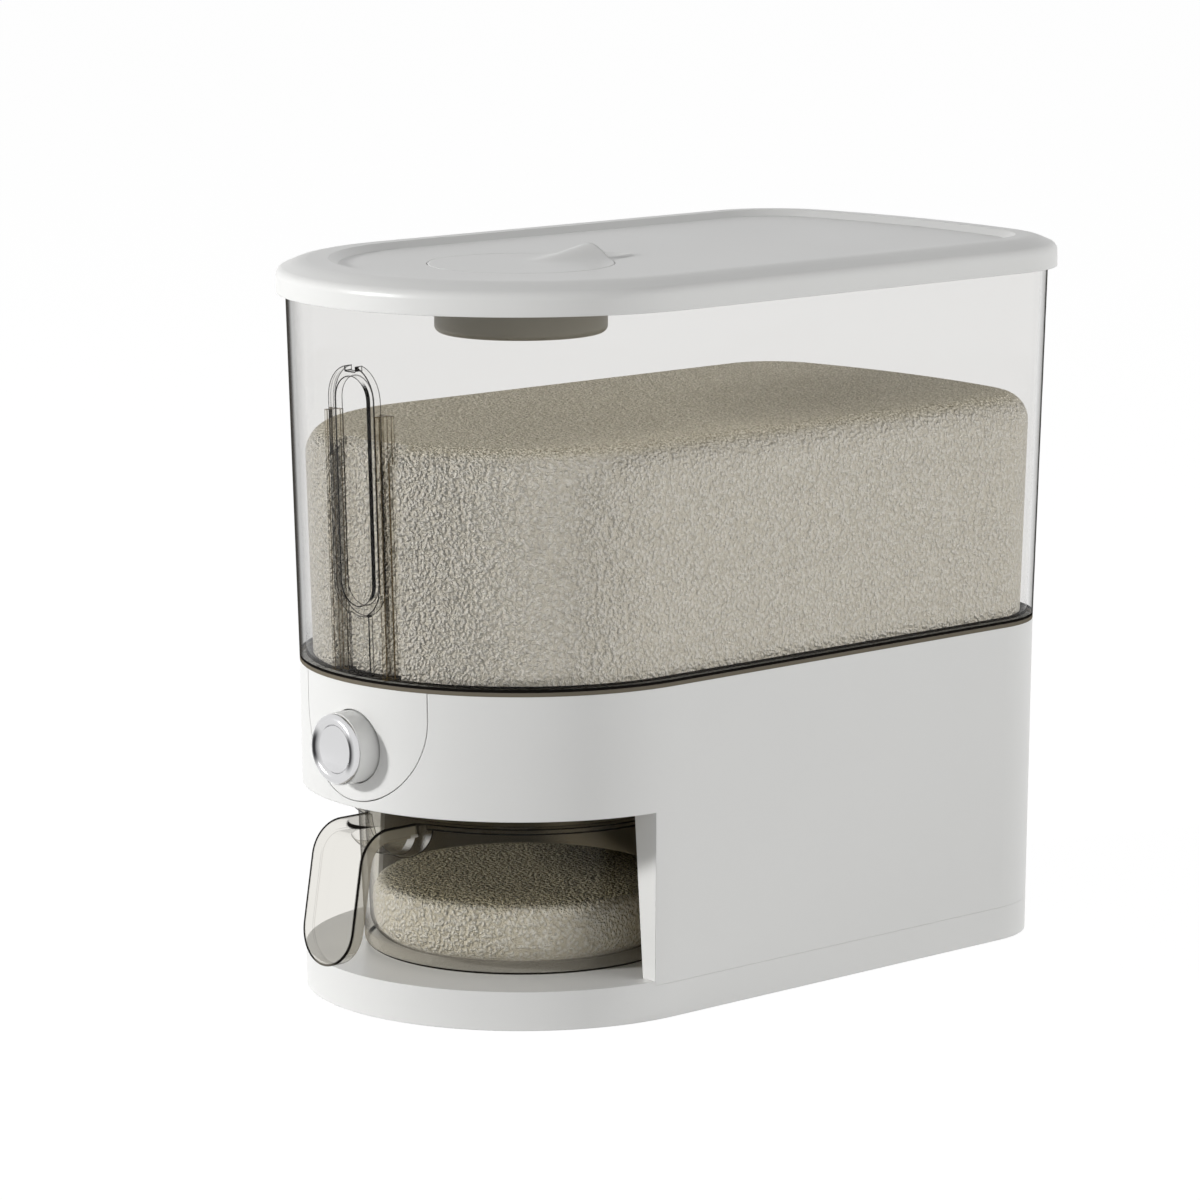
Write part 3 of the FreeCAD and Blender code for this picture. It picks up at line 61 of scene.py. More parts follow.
nodes = frame["nodes"]

# %% [markdown]
# The camera stands off the right-hand corner of the front, a little above the
# lid. It could be aimed with a Track To constraint, but its turn is written as
# three directions here, right, up and back, because they fix it exactly. The
# long lens keeps the upright walls nearly parallel, which suits a boxy form.

# %% Camera
RIGHT = Vector((0.67891, 0.73422, 0.0))
UP = Vector((-0.12560, 0.11614, 0.98526))
BACK = Vector((0.72340, -0.66891, 0.17106))
EYE = Vector((1.38266, -1.30525, 0.46322))
LENS, SENSOR = 155.4, 36


def make_camera():
    """A camera at EYE whose axes are RIGHT, UP and BACK."""
    lens = bpy.data.cameras.new("studio_camera")
    lens.lens = LENS
    lens.sensor_width = SENSOR
    camera = bpy.data.objects.new("studio_camera", lens)
    turn = Matrix((RIGHT, UP, BACK)).transposed().to_4x4()
    camera.matrix_world = Matrix.Translation(EYE) @ turn
    bpy.context.collection.objects.link(camera)
    bpy.context.scene.camera = camera


make_camera()
bpy.context.scene.view_settings.view_transform = "Standard"
print("lens:", LENS, "mm on a sensor of", SENSOR, "mm")

# %% [markdown]
# A finish is a network of nodes. In the editor each sum is one Math node with
# two wires, which soon hides what is meant. A small class wraps a socket
# instead, so that `1 - mask * 0.4` adds the Math nodes by itself.

# %% Shader values that can be written as sums


class Flow:
    """A number that varies over a surface; +, -, *, / and ** add Math nodes."""

    def __init__(self, finish, socket):
        self.finish = finish
        self.socket = socket

    def _math(self, operation, first, second):
        return self.finish.add("ShaderNodeMath", {"operation": operation}, {0: first, 1: second})

    def __add__(self, other):
        return self._math("ADD", self, other)

    def __sub__(self, other):
        return self._math("SUBTRACT", self, other)

    def __mul__(self, other):
        return self._math("MULTIPLY", self, other)

    def __truediv__(self, other):
        return self._math("DIVIDE", self, other)

    def __pow__(self, other):
        return self._math("POWER", self, other)

    def __rsub__(self, other):
        return self._math("SUBTRACT", other, self)

    __radd__ = __add__
    __rmul__ = __mul__


print("flows take: + - * / **")

# %% [markdown]
# A second class holds a material. Its one method `add` makes any node: settings
# go first, since they can change which sockets the node has, and then the
# values or links. That is less to read than three lines of code for each node.

# %% A material and its nodes


def fill_ramp(ramp, stops):
    """Set a colour ramp's stops, each a position and a grey."""
    while len(ramp.elements) < len(stops):
        ramp.elements.new(0.5)
    for element, (position, grey) in zip(ramp.elements, stops):
        element.position = position
        element.color = (grey, grey, grey, 1)


class Network:
    """The nodes of a new material, or of the owner if one is given."""

    def __init__(self, name, owner=None):
        self.material = owner or bpy.data.materials.new(name)
        self.material.use_nodes = True
        self.tree = self.material.node_tree
        self.tree.nodes.clear()

    def add(self, kind, settings=None, inputs=None, output=0):
        """Add a node: its settings first, then the values or links of its sockets."""
        node = self.tree.nodes.new(kind)
        for name, value in (settings or {}).items():
            if name == "stops":
                fill_ramp(node.color_ramp, value)
            else:
                setattr(node, name, value)
        for name, value in (inputs or {}).items():
            if isinstance(value, Flow):
                self.tree.links.new(value.socket, node.inputs[name])
            else:
                node.inputs[name].default_value = value
        return Flow(self, node.outputs[output]) if node.outputs else None

    def show(self, shader):
        """Lead a shader to the surface and hand back the material."""
        self.add("ShaderNodeOutputMaterial", None, {"Surface": shader})
        return self.material


print("a network adds nodes with:", Network.add.__name__)

# %% [markdown]
# A finish is a network whose common nodes have short names. They say where a
# place lies, which way a face looks, and how one value fades into another, so
# that each finish below reads as a few lines about the real surface.

# %% The nodes that finishes share


class Finish(Network):
    """A network with short names for the nodes that most finishes use."""

    def place(self):
        """Object coordinates, which are the same as the dispenser's own."""
        return self.add("ShaderNodeTexCoord", output="Object")

    def part(self, vector, axis):
        """The X, Y or Z of a vector."""
        return self.add("ShaderNodeSeparateXYZ", None, {0: vector}, output=axis)

    def along(self, axis):
        """How far along an axis a place lies."""
        return self.part(self.place(), axis)

    def face(self, output):
        """What the Geometry node says of the face, such as its True Normal."""
        return self.add("ShaderNodeNewGeometry", output=output)

    def fade(self, value, low, high, at_low=0.0, at_high=1.0):
        """A smooth change from low to high."""
        return self.add("ShaderNodeMapRange", {"interpolation_type": "SMOOTHSTEP"}, {
            "Value": value, "From Min": low, "From Max": high,
            "To Min": at_low, "To Max": at_high})

    def slope(self, value, low, high):
        """A straight change from 0 at low to 1 at high."""
        return self.add("ShaderNodeMapRange", None, {
            "Value": value, "From Min": low, "From Max": high})

    def larger(self, first, second):
        return self.add("ShaderNodeMath", {"operation": "MAXIMUM"}, {0: first, 1: second})

    def noise(self, scale, detail, roughness=0.5, vector=None):
        return self.add("ShaderNodeTexNoise", None, {
            "Vector": vector or self.place(), "Scale": scale,
            "Detail": detail, "Roughness": roughness})

    def blend(self, mask, first, second):
        """The first colour where the mask is 0 and the second where it is 1."""
        return self.add("ShaderNodeMix", {"data_type": "RGBA"},
                        {"Factor": mask, 6: first, 7: second}, output=2)

    def bump(self, height, distance, strength=1.0, normal=None):
        """A normal tilted by a height, on top of another normal if one is given."""
        inputs = {"Height": height, "Distance": distance, "Strength": strength}
        if normal:
            inputs["Normal"] = normal
        return self.add("ShaderNodeBump", None, inputs)


print("shared nodes:", [name for name in vars(Finish) if not name.startswith("_")])

# %% [markdown]
# Colours are written from 0 to 255, as a colour picker gives them. The shader
# counts light instead, so each part goes through the sRGB curve. Typing the
# light's numbers in directly would work too, but nobody could read a colour
# from them.

# %% Colours


def rgb(red, green, blue):
    """A colour from 0 to 255 as the eye reads it, as the shader wants it."""
    def linear(part):
        part = part / 255
        return part / 12.92 if part <= 0.04045 else ((part + 0.055) / 1.055) ** 2.4
    return (linear(red), linear(green), linear(blue), 1)


print("middle grey for the shader:", round(rgb(128, 128, 128)[0], 3))

# %% [markdown]
# The walls and the lid are moulded plastic: nearly smooth, with a broad soft
# shine. One flat colour would look like paper, so a slow cloud changes the
# colour and the roughness a little, and a fine noise gives the mould's grain.
# Real rounds could be cut at each edge of the solids, but they are half a
# millimetre wide, and a Bevel node gives the same glint without a new mesh.

# %% White moulded plastic
MOULD_ROUND, MOULD_GRAIN = 0.45 * MM, 0.010 * MM
CLOUD_SCALE, GRAIN_SCALE = 14, 2600


def darker(colour, share):
    """The same colour, scaled down."""
    return tuple(part * share for part in colour[:3]) + (1,)


def moulded_plastic(name, colour, roughness):
    finish = Finish(name)
    cloud = finish.noise(CLOUD_SCALE, 3)
    grain = finish.noise(GRAIN_SCALE, 2)
    soft_edge = finish.add("ShaderNodeBevel", {"samples": 4}, {"Radius": MOULD_ROUND})
    shader = finish.add("ShaderNodeBsdfPrincipled", None, {
        "Base Color": finish.blend(cloud, colour, darker(colour, 0.975)),
        "Roughness": roughness + (cloud - 0.5) * 0.08, "IOR": 1.5,
        "Normal": finish.bump(grain, MOULD_GRAIN, 0.6, soft_edge)})
    return finish.show(shader)


white = moulded_plastic("white_moulded_plastic", rgb(228, 228, 226), 0.34)
canister_grey = moulded_plastic("grey_moulded_plastic", rgb(141, 137, 126), 0.45)
# The bay's liner is given a darker, browner grey than the walls.
bay_grey = moulded_plastic("bay_moulded_plastic", rgb(140, 131, 111), 0.5)
print("finishes:", white.name, canister_grey.name, bay_grey.name)

# %% [markdown]
# The tank, the cup and the loop are clear plastic with a light smoke tint. Real
# clear plastic hardly moves what is behind a thin wall, but goes dark where the
# eye looks along the wall and on every moulded edge. A Glass shader would bend
# the light at each wall and shut the lamps out. So the plastic is a Transparent
# shader with some mirror, and masks say where a darker plastic is laid over it.

# %% Masks for clear plastic


def edge_line(finish, width, through):
    """1 along every sharp edge; through is how much of it shows from inside."""
    turned = finish.add("ShaderNodeBevel", {"samples": 16}, {"Radius": width})
    same = finish.add("ShaderNodeVectorMath", {"operation": "DOT_PRODUCT"},
                      {0: turned, 1: finish.face("True Normal")}, output=1)
    line = finish.fade(same, 0.995, 0.965)
    return line * (1 - finish.face("Backfacing") * (1 - through))


def side_mask(finish, seen_from_inside):
    """1 on faces that look left or right, seen from inside the plastic or from outside."""
    across = finish.part(finish.face("True Normal"), "X")
    side = finish.fade(across * across, 0.3, 0.7)
    inside = finish.face("Backfacing")
    return side * inside if seen_from_inside else side * (1 - inside)


def band(finish, value, low, high, soft=0.1 * MM):
    """1 where a value lies between two others, with soft ends."""
    return (finish.slope(value, low - soft, low + soft)
            * (1 - finish.slope(value, high - soft, high + soft)))


def outer_face(finish, middle=0.0):
    """1 on faces that look away from a middle on the Y axis, 0 on the inside of a wall."""
    from_middle = finish.add("ShaderNodeVectorMath", {"operation": "MULTIPLY_ADD"}, {
        0: finish.place(), 1: (1, 1, 0), 2: (0, -middle, 0)})
    away = finish.add("ShaderNodeVectorMath", {"operation": "DOT_PRODUCT"},
                      {0: from_middle, 1: finish.face("True Normal")}, output=1)
    turned = 1 - finish.face("Backfacing") * 2
    return finish.slope(away * turned, -2 * MM, 2 * MM)


print("masks:", [mask.__name__ for mask in (edge_line, side_mask, band, outer_face)])

# %% [markdown]
# The clear finish starts see-through and takes one coat after another. Each
# coat has no shine of its own, because a black line that mirrors the white room
# looks grey. At the end, lamps and bounced light are let straight through, as a
# thin real wall does, so that the rice behind it is lit.

# %% Clear smoky plastic
SMOKE_DARK = (0.03, 0.027, 0.023, 1)
EDGE_BLACK = (0.008, 0.007, 0.006, 1)
WARM_SMOKE = (0.15, 0.115, 0.07, 1)
LIGHT_PASSES = (0.97, 0.968, 0.96, 1)


class ClearFinish(Finish):
    """Clear plastic: coats of darker plastic are mixed over a see-through one."""

    def __init__(self, name, tint):
        super().__init__(name)
        see = self.add("ShaderNodeBsdfTransparent", None, {"Color": tint})
        shine = self.add("ShaderNodeBsdfPrincipled", None, {
            "Base Color": (1, 1, 1, 1), "Metallic": 1.0, "Roughness": 0.03})
        self.facing = self.add("ShaderNodeLayerWeight", None, {"Blend": 0.5}, output="Facing")
        self.shader = self.add("ShaderNodeMixShader", None, {
            0: self.facing ** 5 * 0.5 + 0.005, 1: see, 2: shine})

    def rim(self, stops):
        """A mask that grows where the eye looks along the surface."""
        return self.add("ShaderNodeValToRGB", {"stops": stops}, {"Fac": self.facing})

    def coat(self, mask, colour, roughness=0.3):
        """Mix in a solid colour where the mask is 1."""
        body = self.add("ShaderNodeBsdfPrincipled", None, {
            "Base Color": colour, "Roughness": roughness, "Specular IOR Level": 0.0})
        self.shader = self.add("ShaderNodeMixShader", None,
                               {0: mask, 1: self.shader, 2: body})

    def done(self):
        """Let lamps and bounced light straight through, whatever the eye sees."""
        thin = self.add("ShaderNodeBsdfTransparent", None, {"Color": LIGHT_PASSES})
        shadow = self.add("ShaderNodeLightPath", output="Is Shadow Ray")
        bounce = self.add("ShaderNodeLightPath", output="Is Diffuse Ray")
        return self.show(self.add("ShaderNodeMixShader", None, {
            0: self.larger(shadow, bounce), 1: self.shader, 2: thin}))


print("smoke and edge colours:", SMOKE_DARK, EDGE_BLACK, WARM_SMOKE)

# %% [markdown]
# The tank's silhouette is a thin dark line with a paler band inside it. It
# could be drawn as a line, but then it would belong to one view. A ramp on how
# much the wall faces the eye gives it from all sides. The tank's foot is a black
# line over a brown one, where the wall meets the base, and is set by height.

# %% Tank plastic
TANK_RIM = [(0.0, 0.0), (0.62, 0.0), (0.72, 0.14), (0.80, 0.30), (0.86, 0.85), (0.9, 0.95)]
FOOT_START, FOOT_LINE, FOOT_TOP = 100 * MM, 121.8 * MM, 122.9 * MM
FOOT_BROWN = (0.17, 0.15, 0.115, 1)

tank_finish = ClearFinish("clear_tank_plastic", (0.94, 0.938, 0.934, 1))
tank_finish.coat(tank_finish.rim(TANK_RIM) * outer_face(tank_finish), SMOKE_DARK)
tank_height = tank_finish.along("Z")
tank_finish.coat(band(tank_finish, tank_height, FOOT_LINE, FOOT_TOP), EDGE_BLACK)
tank_finish.coat(band(tank_finish, tank_height, FOOT_START, FOOT_LINE), FOOT_BROWN, 0.25)
tank_clear = tank_finish.done()
print("finish:", tank_clear.name)

# %% [markdown]
# The cup is smokier than the tank. The front outline of its handle is a black
# line, and the handle's right side is a beige strip behind that outline. A
# second object could carry the outline, but the handle only has to be told
# apart by place: it bends about one axis, so the distance from that axis says
# how deep behind its front face a place lies.

# %% The places of the cup's handle
HANDLE_LEAN = math.radians(9.5)
BEND_Y, BEND_Z, BEND_RADIUS = -141.0 * MM, 55.6 * MM, 13.5 * MM
HANDLE_FRONT, HANDLE_BACK = -200 * MM, -127 * MM
OUTLINE_FRONT, OUTLINE_DEPTH = -2 * MM, 4.2 * MM


def handle_depth(finish):
    """How far behind the handle's front and upper face a place lies."""
    away = (finish.along("Y") - BEND_Y) * -math.cos(HANDLE_LEAN)
    up = finish.along("Z") - BEND_Z
    ahead = away + up * math.sin(HANDLE_LEAN)
    return BEND_RADIUS - finish.larger(ahead, up)


cup_finish = ClearFinish("clear_cup_plastic", (0.90, 0.89, 0.865, 1))
cup_side = side_mask(cup_finish, False)
on_handle = band(cup_finish, cup_finish.along("Y"), HANDLE_FRONT, HANDLE_BACK, 2 * MM)
front_part = band(cup_finish, handle_depth(cup_finish), OUTLINE_FRONT, OUTLINE_DEPTH, 0.3 * MM)
print("the handle starts", round(BEND_RADIUS / MM, 1), "mm in front of its axis")

# %% [markdown]
# The coats of the cup follow from the softest to the strongest, because a later
# coat covers an earlier one: the rim, the handle's side, the edge lines, a
# painted highlight, which is the pale crescent on the neck where its fillet
# mirrors the white room, and the bowl's base, which is beige over a black line
# where it stands on its sill.

# %% Cup plastic
CUP_RIM = [(0.0, 0.0), (0.70, 0.0), (0.82, 0.30), (0.90, 0.6), (0.97, 0.85)]
CUP_SMOKE = (0.06, 0.052, 0.04, 1)
HANDLE_BEIGE = (0.30, 0.27, 0.20, 1)
NECK_PAINTED_HIGHLIGHT = (0.82, 0.81, 0.78, 1)
BASE_BEIGE = (0.50, 0.46, 0.38, 1)
CUP_Y = -65.5 * MM

cup_finish.coat(cup_finish.rim(CUP_RIM), CUP_SMOKE)
cup_finish.coat(cup_side * on_handle * 0.55, HANDLE_BEIGE)
outline = edge_line(cup_finish, 1.9 * MM, 1.0)
bowl_edges = edge_line(cup_finish, 0.9 * MM, 0.3)
handle_edges = edge_line(cup_finish, 0.7 * MM, 0.3)
cup_finish.coat(outline * on_handle * front_part, EDGE_BLACK)
cup_finish.coat(bowl_edges * (1 - on_handle), EDGE_BLACK)
cup_finish.coat(handle_edges * on_handle * (1 - front_part) * 0.5, WARM_SMOKE)
cup_height = cup_finish.along("Z")
on_neck = (band(cup_finish, cup_finish.along("Y"), -131 * MM, -119 * MM)
           * band(cup_finish, cup_height, 47 * MM, 64 * MM, 1.5 * MM))
# Painted highlight: a pale crescent where the neck's fillet mirrors the white room.
cup_finish.coat(cup_side * on_neck * 0.85, NECK_PAINTED_HIGHLIGHT)
cup_finish.coat(band(cup_finish, cup_height, 15.8 * MM, 21 * MM, 1.2 * MM)
                * outer_face(cup_finish, CUP_Y) * 0.35, BASE_BEIGE)
cup_finish.coat(band(cup_finish, cup_height, 14.8 * MM, 15.7 * MM, 0.15 * MM), EDGE_BLACK)
cup_clear = cup_finish.done()
print("finish:", cup_clear.name)

# %% [markdown]
# The loop is the rice leveller, an upright ring of clear plastic that slides on
# the front wall. It has crisp lines: a strong black one where its right inner
# side is seen through the front, and fine ones along the left side. Its front
# face leans with the wall, so depth is measured behind that leaning face.

# %% Loop plastic
LOOP_FRONT, LOOP_FOOT, WALL_LEAN = -142.79 * MM, 122.85 * MM, 0.03068
THIN_RIM = [(0.0, 0.0), (0.80, 0.0), (0.90, 0.6)]
FINE_LINE = (0.04, 0.032, 0.02, 1)

loop_finish = ClearFinish("clear_loop_plastic", (0.99, 0.988, 0.984, 1))
loop_finish.coat(loop_finish.rim(THIN_RIM), SMOKE_DARK)
on_right = band(loop_finish, loop_finish.along("X"), 1 * MM, 10.5 * MM)
loop_side = side_mask(loop_finish, True)
loop_height = loop_finish.along("Z") - LOOP_FOOT
loop_depth = loop_finish.along("Y") - LOOP_FRONT + loop_height * WALL_LEAN
fine_lines = (band(loop_finish, loop_depth, 1.0 * MM, 1.35 * MM)
              + band(loop_finish, loop_depth, 2.2 * MM, 2.6 * MM))
strong_line = band(loop_finish, loop_depth, -1 * MM, 1.8 * MM)
loop_finish.coat(loop_side * on_right * strong_line, EDGE_BLACK)
loop_finish.coat(loop_side * (1 - on_right) * fine_lines * 0.55, FINE_LINE)
loop_finish.coat(loop_side * (1 - on_right) * 0.06, WARM_SMOKE)
loop_finish.coat(edge_line(loop_finish, 0.8 * MM, 0.7), EDGE_BLACK)
loop_clear = loop_finish.done()
print("finish:", loop_clear.name)

# %% [markdown]
# The two rails that hold the loop are of the tank's plastic but thicker, so
# they look browner. Weak warm coats are enough, because each rail is a narrow
# strip in front of the rice and a strong coat would turn it into a bar.

# %% Rail plastic
RAIL_BROWN = (0.25, 0.19, 0.11, 1)
RAIL_EDGE = (0.10, 0.07, 0.03, 1)

rail_finish = ClearFinish("clear_rail_plastic", (0.97, 0.962, 0.94, 1))
rail_finish.coat(rail_finish.rim(THIN_RIM), WARM_SMOKE)
rail_finish.coat(side_mask(rail_finish, True) * 0.1, RAIL_BROWN)
rail_finish.coat(edge_line(rail_finish, 0.5 * MM, 0.4), RAIL_EDGE)
rail_clear = rail_finish.done()
print("finish:", rail_clear.name)

# %% [markdown]
# The small parts are of zinc-plated steel for the screws and springs, silicone
# for the seals, rubber for the feet and paper for the drying sachet. Each real
# surface is uneven in its own way, and noise of the right size, in the
# roughness or as a bump, tells them apart better than colour does.

# %% Steel, silicone, rubber and paper
BRUSH_DEPTH = 0.004 * MM


def brushed(finish, colour, roughness, scale):
    """A metal whose fine brush marks change its shine."""
    lines = finish.noise(scale, 4, 0.6)
    shader = finish.add("ShaderNodeBsdfPrincipled", None, {
        "Base Color": colour, "Metallic": 1.0, "Roughness": roughness + (lines - 0.5) * 0.1,
        "Normal": finish.bump(lines, BRUSH_DEPTH, 0.4)})
    return finish.show(shader)


def soft_matter(name, colour, roughness, grain_scale, grain_depth):
    finish = Finish(name)
    grain = finish.noise(grain_scale, 4, 0.6)
    shader = finish.add("ShaderNodeBsdfPrincipled", None, {
        "Base Color": finish.blend(grain, colour, darker(colour, 0.9)), "Roughness": roughness,
        "Normal": finish.bump(grain, grain_depth, 0.8)})
    return finish.show(shader)


steel = brushed(Finish("zinc_plated_steel"), rgb(186, 187, 190), 0.32, 700)
silicone = soft_matter("seal_silicone", rgb(214, 213, 208), 0.55, 1500, 0.01 * MM)
rubber = soft_matter("foot_rubber", rgb(150, 150, 150), 0.8, 1100, 0.03 * MM)
paper = soft_matter("sachet_paper", rgb(226, 224, 216), 0.85, 500, 0.08 * MM)
print("finishes:", steel.name, silicone.name, rubber.name, paper.name)

# %% [markdown]
# The button's disc is satin chrome. Chrome shows only what stands round it, and
# this studio is all white, so the dark flanks that a real room would put on the
# rim are painted into the metal: a ring by radius, faded out above and below.

# %% Chrome of the button's disc
DISC_MIDDLE = 97.7 * MM
FLANK_START, FLANK_END, FLANK_SOFT = 8.9 * MM, 11.2 * MM, 0.7 * MM


def disc_colour_with_painted_reflections(finish):
    """Chrome, with painted dark reflections on the rim's flanks, left and right."""
    across = finish.along("X")
    up = finish.along("Z") - DISC_MIDDLE
    radius = (across * across + up * up) ** 0.5
    beside = finish.fade(across * across / (radius * radius), 0.45, 0.95)
    flank = band(finish, radius, FLANK_START, FLANK_END, FLANK_SOFT) * beside
    return finish.blend(flank, rgb(214, 214, 215), rgb(52, 52, 54))


disc_finish = Finish("satin_chrome")
chrome = brushed(disc_finish, disc_colour_with_painted_reflections(disc_finish), 0.17, 900)
print("finish:", chrome.name)

# %% [markdown]
# Rice is a heap of small pale grains. Thousands of modelled grains would make
# the file heavy and hardly show, as a grain is about two millimetres wide. So
# the heap's form is a mesh and its grains are a bump: the round cells of a
# smooth Voronoi pattern, made uneven by two noises. The pits between the cells
# are a little darker, as painted shade. The side that looks up, seen nearly
# edge-on, is speckled and has colours of its own as painted light or shade: in
# the tank it is lifted by a painted glow, and in the cup it is dark, as painted
# shade under the bay.

# %% Rice
GRAIN_CELLS, SMALL_GRAIN, FINE_GRAIN, HEAP_LUMPS = 740, 1500, 2800, 170
CALM_START, CALM_END = 30 * MM, 80 * MM


def rice_finish(name, colour, shade, painted_top_colour, painted_top_shade, relief, glow):
    """Rice grains; the pits and the side that looks up get painted light or shade."""
    finish = Finish(name)
    where = finish.place()
    cells = finish.add("ShaderNodeTexVoronoi", {"feature": "SMOOTH_F1"}, {
        "Vector": where, "Scale": GRAIN_CELLS, "Smoothness": 0.8, "Randomness": 1.0})
    small = finish.noise(SMALL_GRAIN, 1, 0.5, where)
    lumps = finish.noise(HEAP_LUMPS, 1, 0.5, where)
    fine = finish.noise(FINE_GRAIN, 1, 0.5, where)
    # Painted shade: the pits between the round cells take the darker colour.
    pits = finish.fade(cells - small * 0.4, 0.05, 0.40)
    speckle = finish.fade(small * 0.5 + fine * 0.5, 0.56, 0.44)
    calm = finish.fade(finish.part(where, "X"), CALM_START, CALM_END, 1.0, 0.35)
    # Painted light or shade on the side that looks up: its own colours, and a painted glow in
    # the Emission below.
    painted_top_mask = finish.fade(finish.part(finish.face("Normal"), "Z"), 0.55, 0.98)
    top = finish.blend(speckle, painted_top_colour, painted_top_shade)
    shader = finish.add("ShaderNodeBsdfPrincipled", None, {
        "Base Color": finish.blend(painted_top_mask, finish.blend(pits, colour, shade), top),
        "Roughness": 0.7,
        "Normal": finish.bump((small * 0.7 + lumps * 0.3 - cells) * calm, relief),
        "Emission Color": finish.blend(painted_top_mask, (0, 0, 0, 1), top),
        "Emission Strength": glow})
    return finish.show(shader)


# The tank's heap gets a painted glow on its top; the cup's portion gets a dark top as painted
# shade.
rice = rice_finish("rice_grains", rgb(254, 249, 239), rgb(238, 231, 216),
                   rgb(245, 238, 221), rgb(158, 147, 121), 4.2 * MM, 0.19)
cup_rice = rice_finish("cup_rice_with_painted_top_shade", rgb(254, 251, 244), rgb(232, 225, 208),
                       rgb(205, 196, 166), rgb(48, 42, 30), 2.2 * MM, 0.0)
print("finishes:", rice.name, cup_rice.name)

# %% [markdown]
# Every solid carries the name of its material slot, so a table from slot to
# finish dresses them all in one loop, which is safer than a line for each. Five
# solids look other than their slot says, and are dressed again by name.

# %% Dress the solids
SLOT_FINISH = {
    "white_plastic": white, "gate_plastic": white, "clear_plastic": cup_clear,
    "canister_plastic": canister_grey, "seal_silicone": silicone, "feet_rubber": rubber,
    "screw_steel": steel, "spring_steel": steel, "disc_chrome": chrome,
    "pack_paper": paper, "rice_grains": rice,
}
NODE_FINISH = {
    "tank": tank_clear, "bay_liner": bay_grey, "leveller": loop_clear,
    "rail_left": rail_clear, "rail_right": rail_clear,
}


def dress(obj, material):
    obj.data.materials.clear()
    obj.data.materials.append(material)


for part in frame["record"]["subparts"]:
    dress(nodes[part["node"]], SLOT_FINISH[part["material_slot"]])
for name, material in NODE_FINISH.items():
    dress(nodes[name], material)
print("dressed", len(nodes), "solids")

# %% [markdown]
# New pieces start from bmesh operators. One helper turns a finished bmesh into
# an object. It merges doubles and turns the faces outwards, because a spin can
# leave a seam or an inside-out shape, and it says which body carries the piece.

# %% Helper for new pieces


def finish_piece(mesh, name, material, body):
    """Make an object of a bmesh and dress it; it rides on a body unless that is None."""
    bmesh.ops.remove_doubles(mesh, verts=mesh.verts, dist=1e-6)
    bmesh.ops.recalc_face_normals(mesh, faces=mesh.faces)
    data = bpy.data.meshes.new(name)
    mesh.to_mesh(data)
    mesh.free()
    for face in data.polygons:
        face.use_smooth = True
    obj = bpy.data.objects.new(name, data)
    bpy.context.collection.objects.link(obj)
    dress(obj, material)
    if body:
        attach(obj, body)
    print(name, "faces:", len(data.polygons))
    return obj


# %% [markdown]
# Seen from above, the dispenser has a half-round front, straight sides and a
# gently bowed rear with round corners. The same outline, drawn in by a few
# millimetres, gives each level of the rice, so it is worked out once from the
# length, the width and the two radii instead of being typed in point by point.

# %% Outline of the body
LENGTH, WIDTH, CORNER, BOW = 308 * MM, 175 * MM, 41.6 * MM, 295 * MM
FRONT_STEPS, SIDE_STEPS, CORNER_STEPS, REAR_STEPS = 192, 112, 48, 56


def arc_points(x, y, radius, start, end, count):
    """Points along an arc, from start to end in degrees, without the last."""
    step = (end - start) / count
    angles = [math.radians(start + step * i) for i in range(count)]
    return [Vector((x + radius * math.cos(a), y + radius * math.sin(a), 0))
            for a in angles]


def side_points(x, start, end):
    """Points along a straight side, from start to end along Y, without the last."""
    return [Vector((x, start + (end - start) * i / SIDE_STEPS, 0))
            for i in range(SIDE_STEPS)]


def body_outline(inset_side, inset_end):
    """The outline drawn in by side and end, anticlockwise from the left of the front."""
    half = WIDTH / 2 - inset_side
    front_y = half - (LENGTH / 2 - inset_end)
    corner = CORNER - inset_side
    bow = BOW - inset_end
    bow_y = LENGTH / 2 - inset_end - bow
    across = half - corner
    corner_y = bow_y + math.sqrt((bow - corner) ** 2 - across ** 2)
    lean = math.degrees(math.atan2(corner_y - bow_y, across))
    return (arc_points(0, front_y, half, 180, 360, FRONT_STEPS)
            + side_points(half, front_y, corner_y)
            + arc_points(across, corner_y, corner, 0, lean, CORNER_STEPS)
            + arc_points(0, bow_y, bow, lean, 180 - lean, REAR_STEPS)
            + arc_points(-across, corner_y, corner, 180 - lean, 180, CORNER_STEPS)
            + side_points(-half, corner_y, front_y))


print("outline points:", len(body_outline(0, 0)))

# %% [markdown]
# The rice fills the tank to about 206 mm and keeps a few millimetres from the
# clear walls, with a soft shoulder all round its top. A block with a Bevel
# modifier can't follow walls that lean, so the heap is a stack of outlines. Each
# is a closed ring of edges, and bridge_loops joins one ring to the next.

# %% Levels of the rice in the tank
RICE_FLOOR, RICE_TOP, RICE_SHOULDER = 123.2 * MM, 206.5 * MM, 11 * MM
RICE_GAP, WALL_STEPS, SHOULDER_STEPS = 2.6 * MM, 16, 8
TANK_FLOOR, TANK_HEIGHT = 120.35 * MM, 140.15 * MM


def tank_inset(height):
    """How far the tank's inner wall stands in from the lid's outline, at side and end."""
    share = (height - TANK_FLOOR) / TANK_HEIGHT
    return (6.8 - 3.5 * share + 2.4) * MM, (7.6 - 4.3 * share + 2.4) * MM


def rice_levels():
    """Each level's height, and how far it keeps from the wall."""
    shoulder_foot = RICE_TOP - RICE_SHOULDER
    levels = [(RICE_FLOOR + (shoulder_foot - RICE_FLOOR) * i / WALL_STEPS, RICE_GAP)
              for i in range(WALL_STEPS + 1)]
    for i in range(1, SHOULDER_STEPS + 1):
        angle = math.radians(90 * i / SHOULDER_STEPS)
        levels.append((RICE_TOP - RICE_SHOULDER * (1 - math.sin(angle)),
                       RICE_GAP + RICE_SHOULDER * (1 - math.cos(angle))))
    return levels


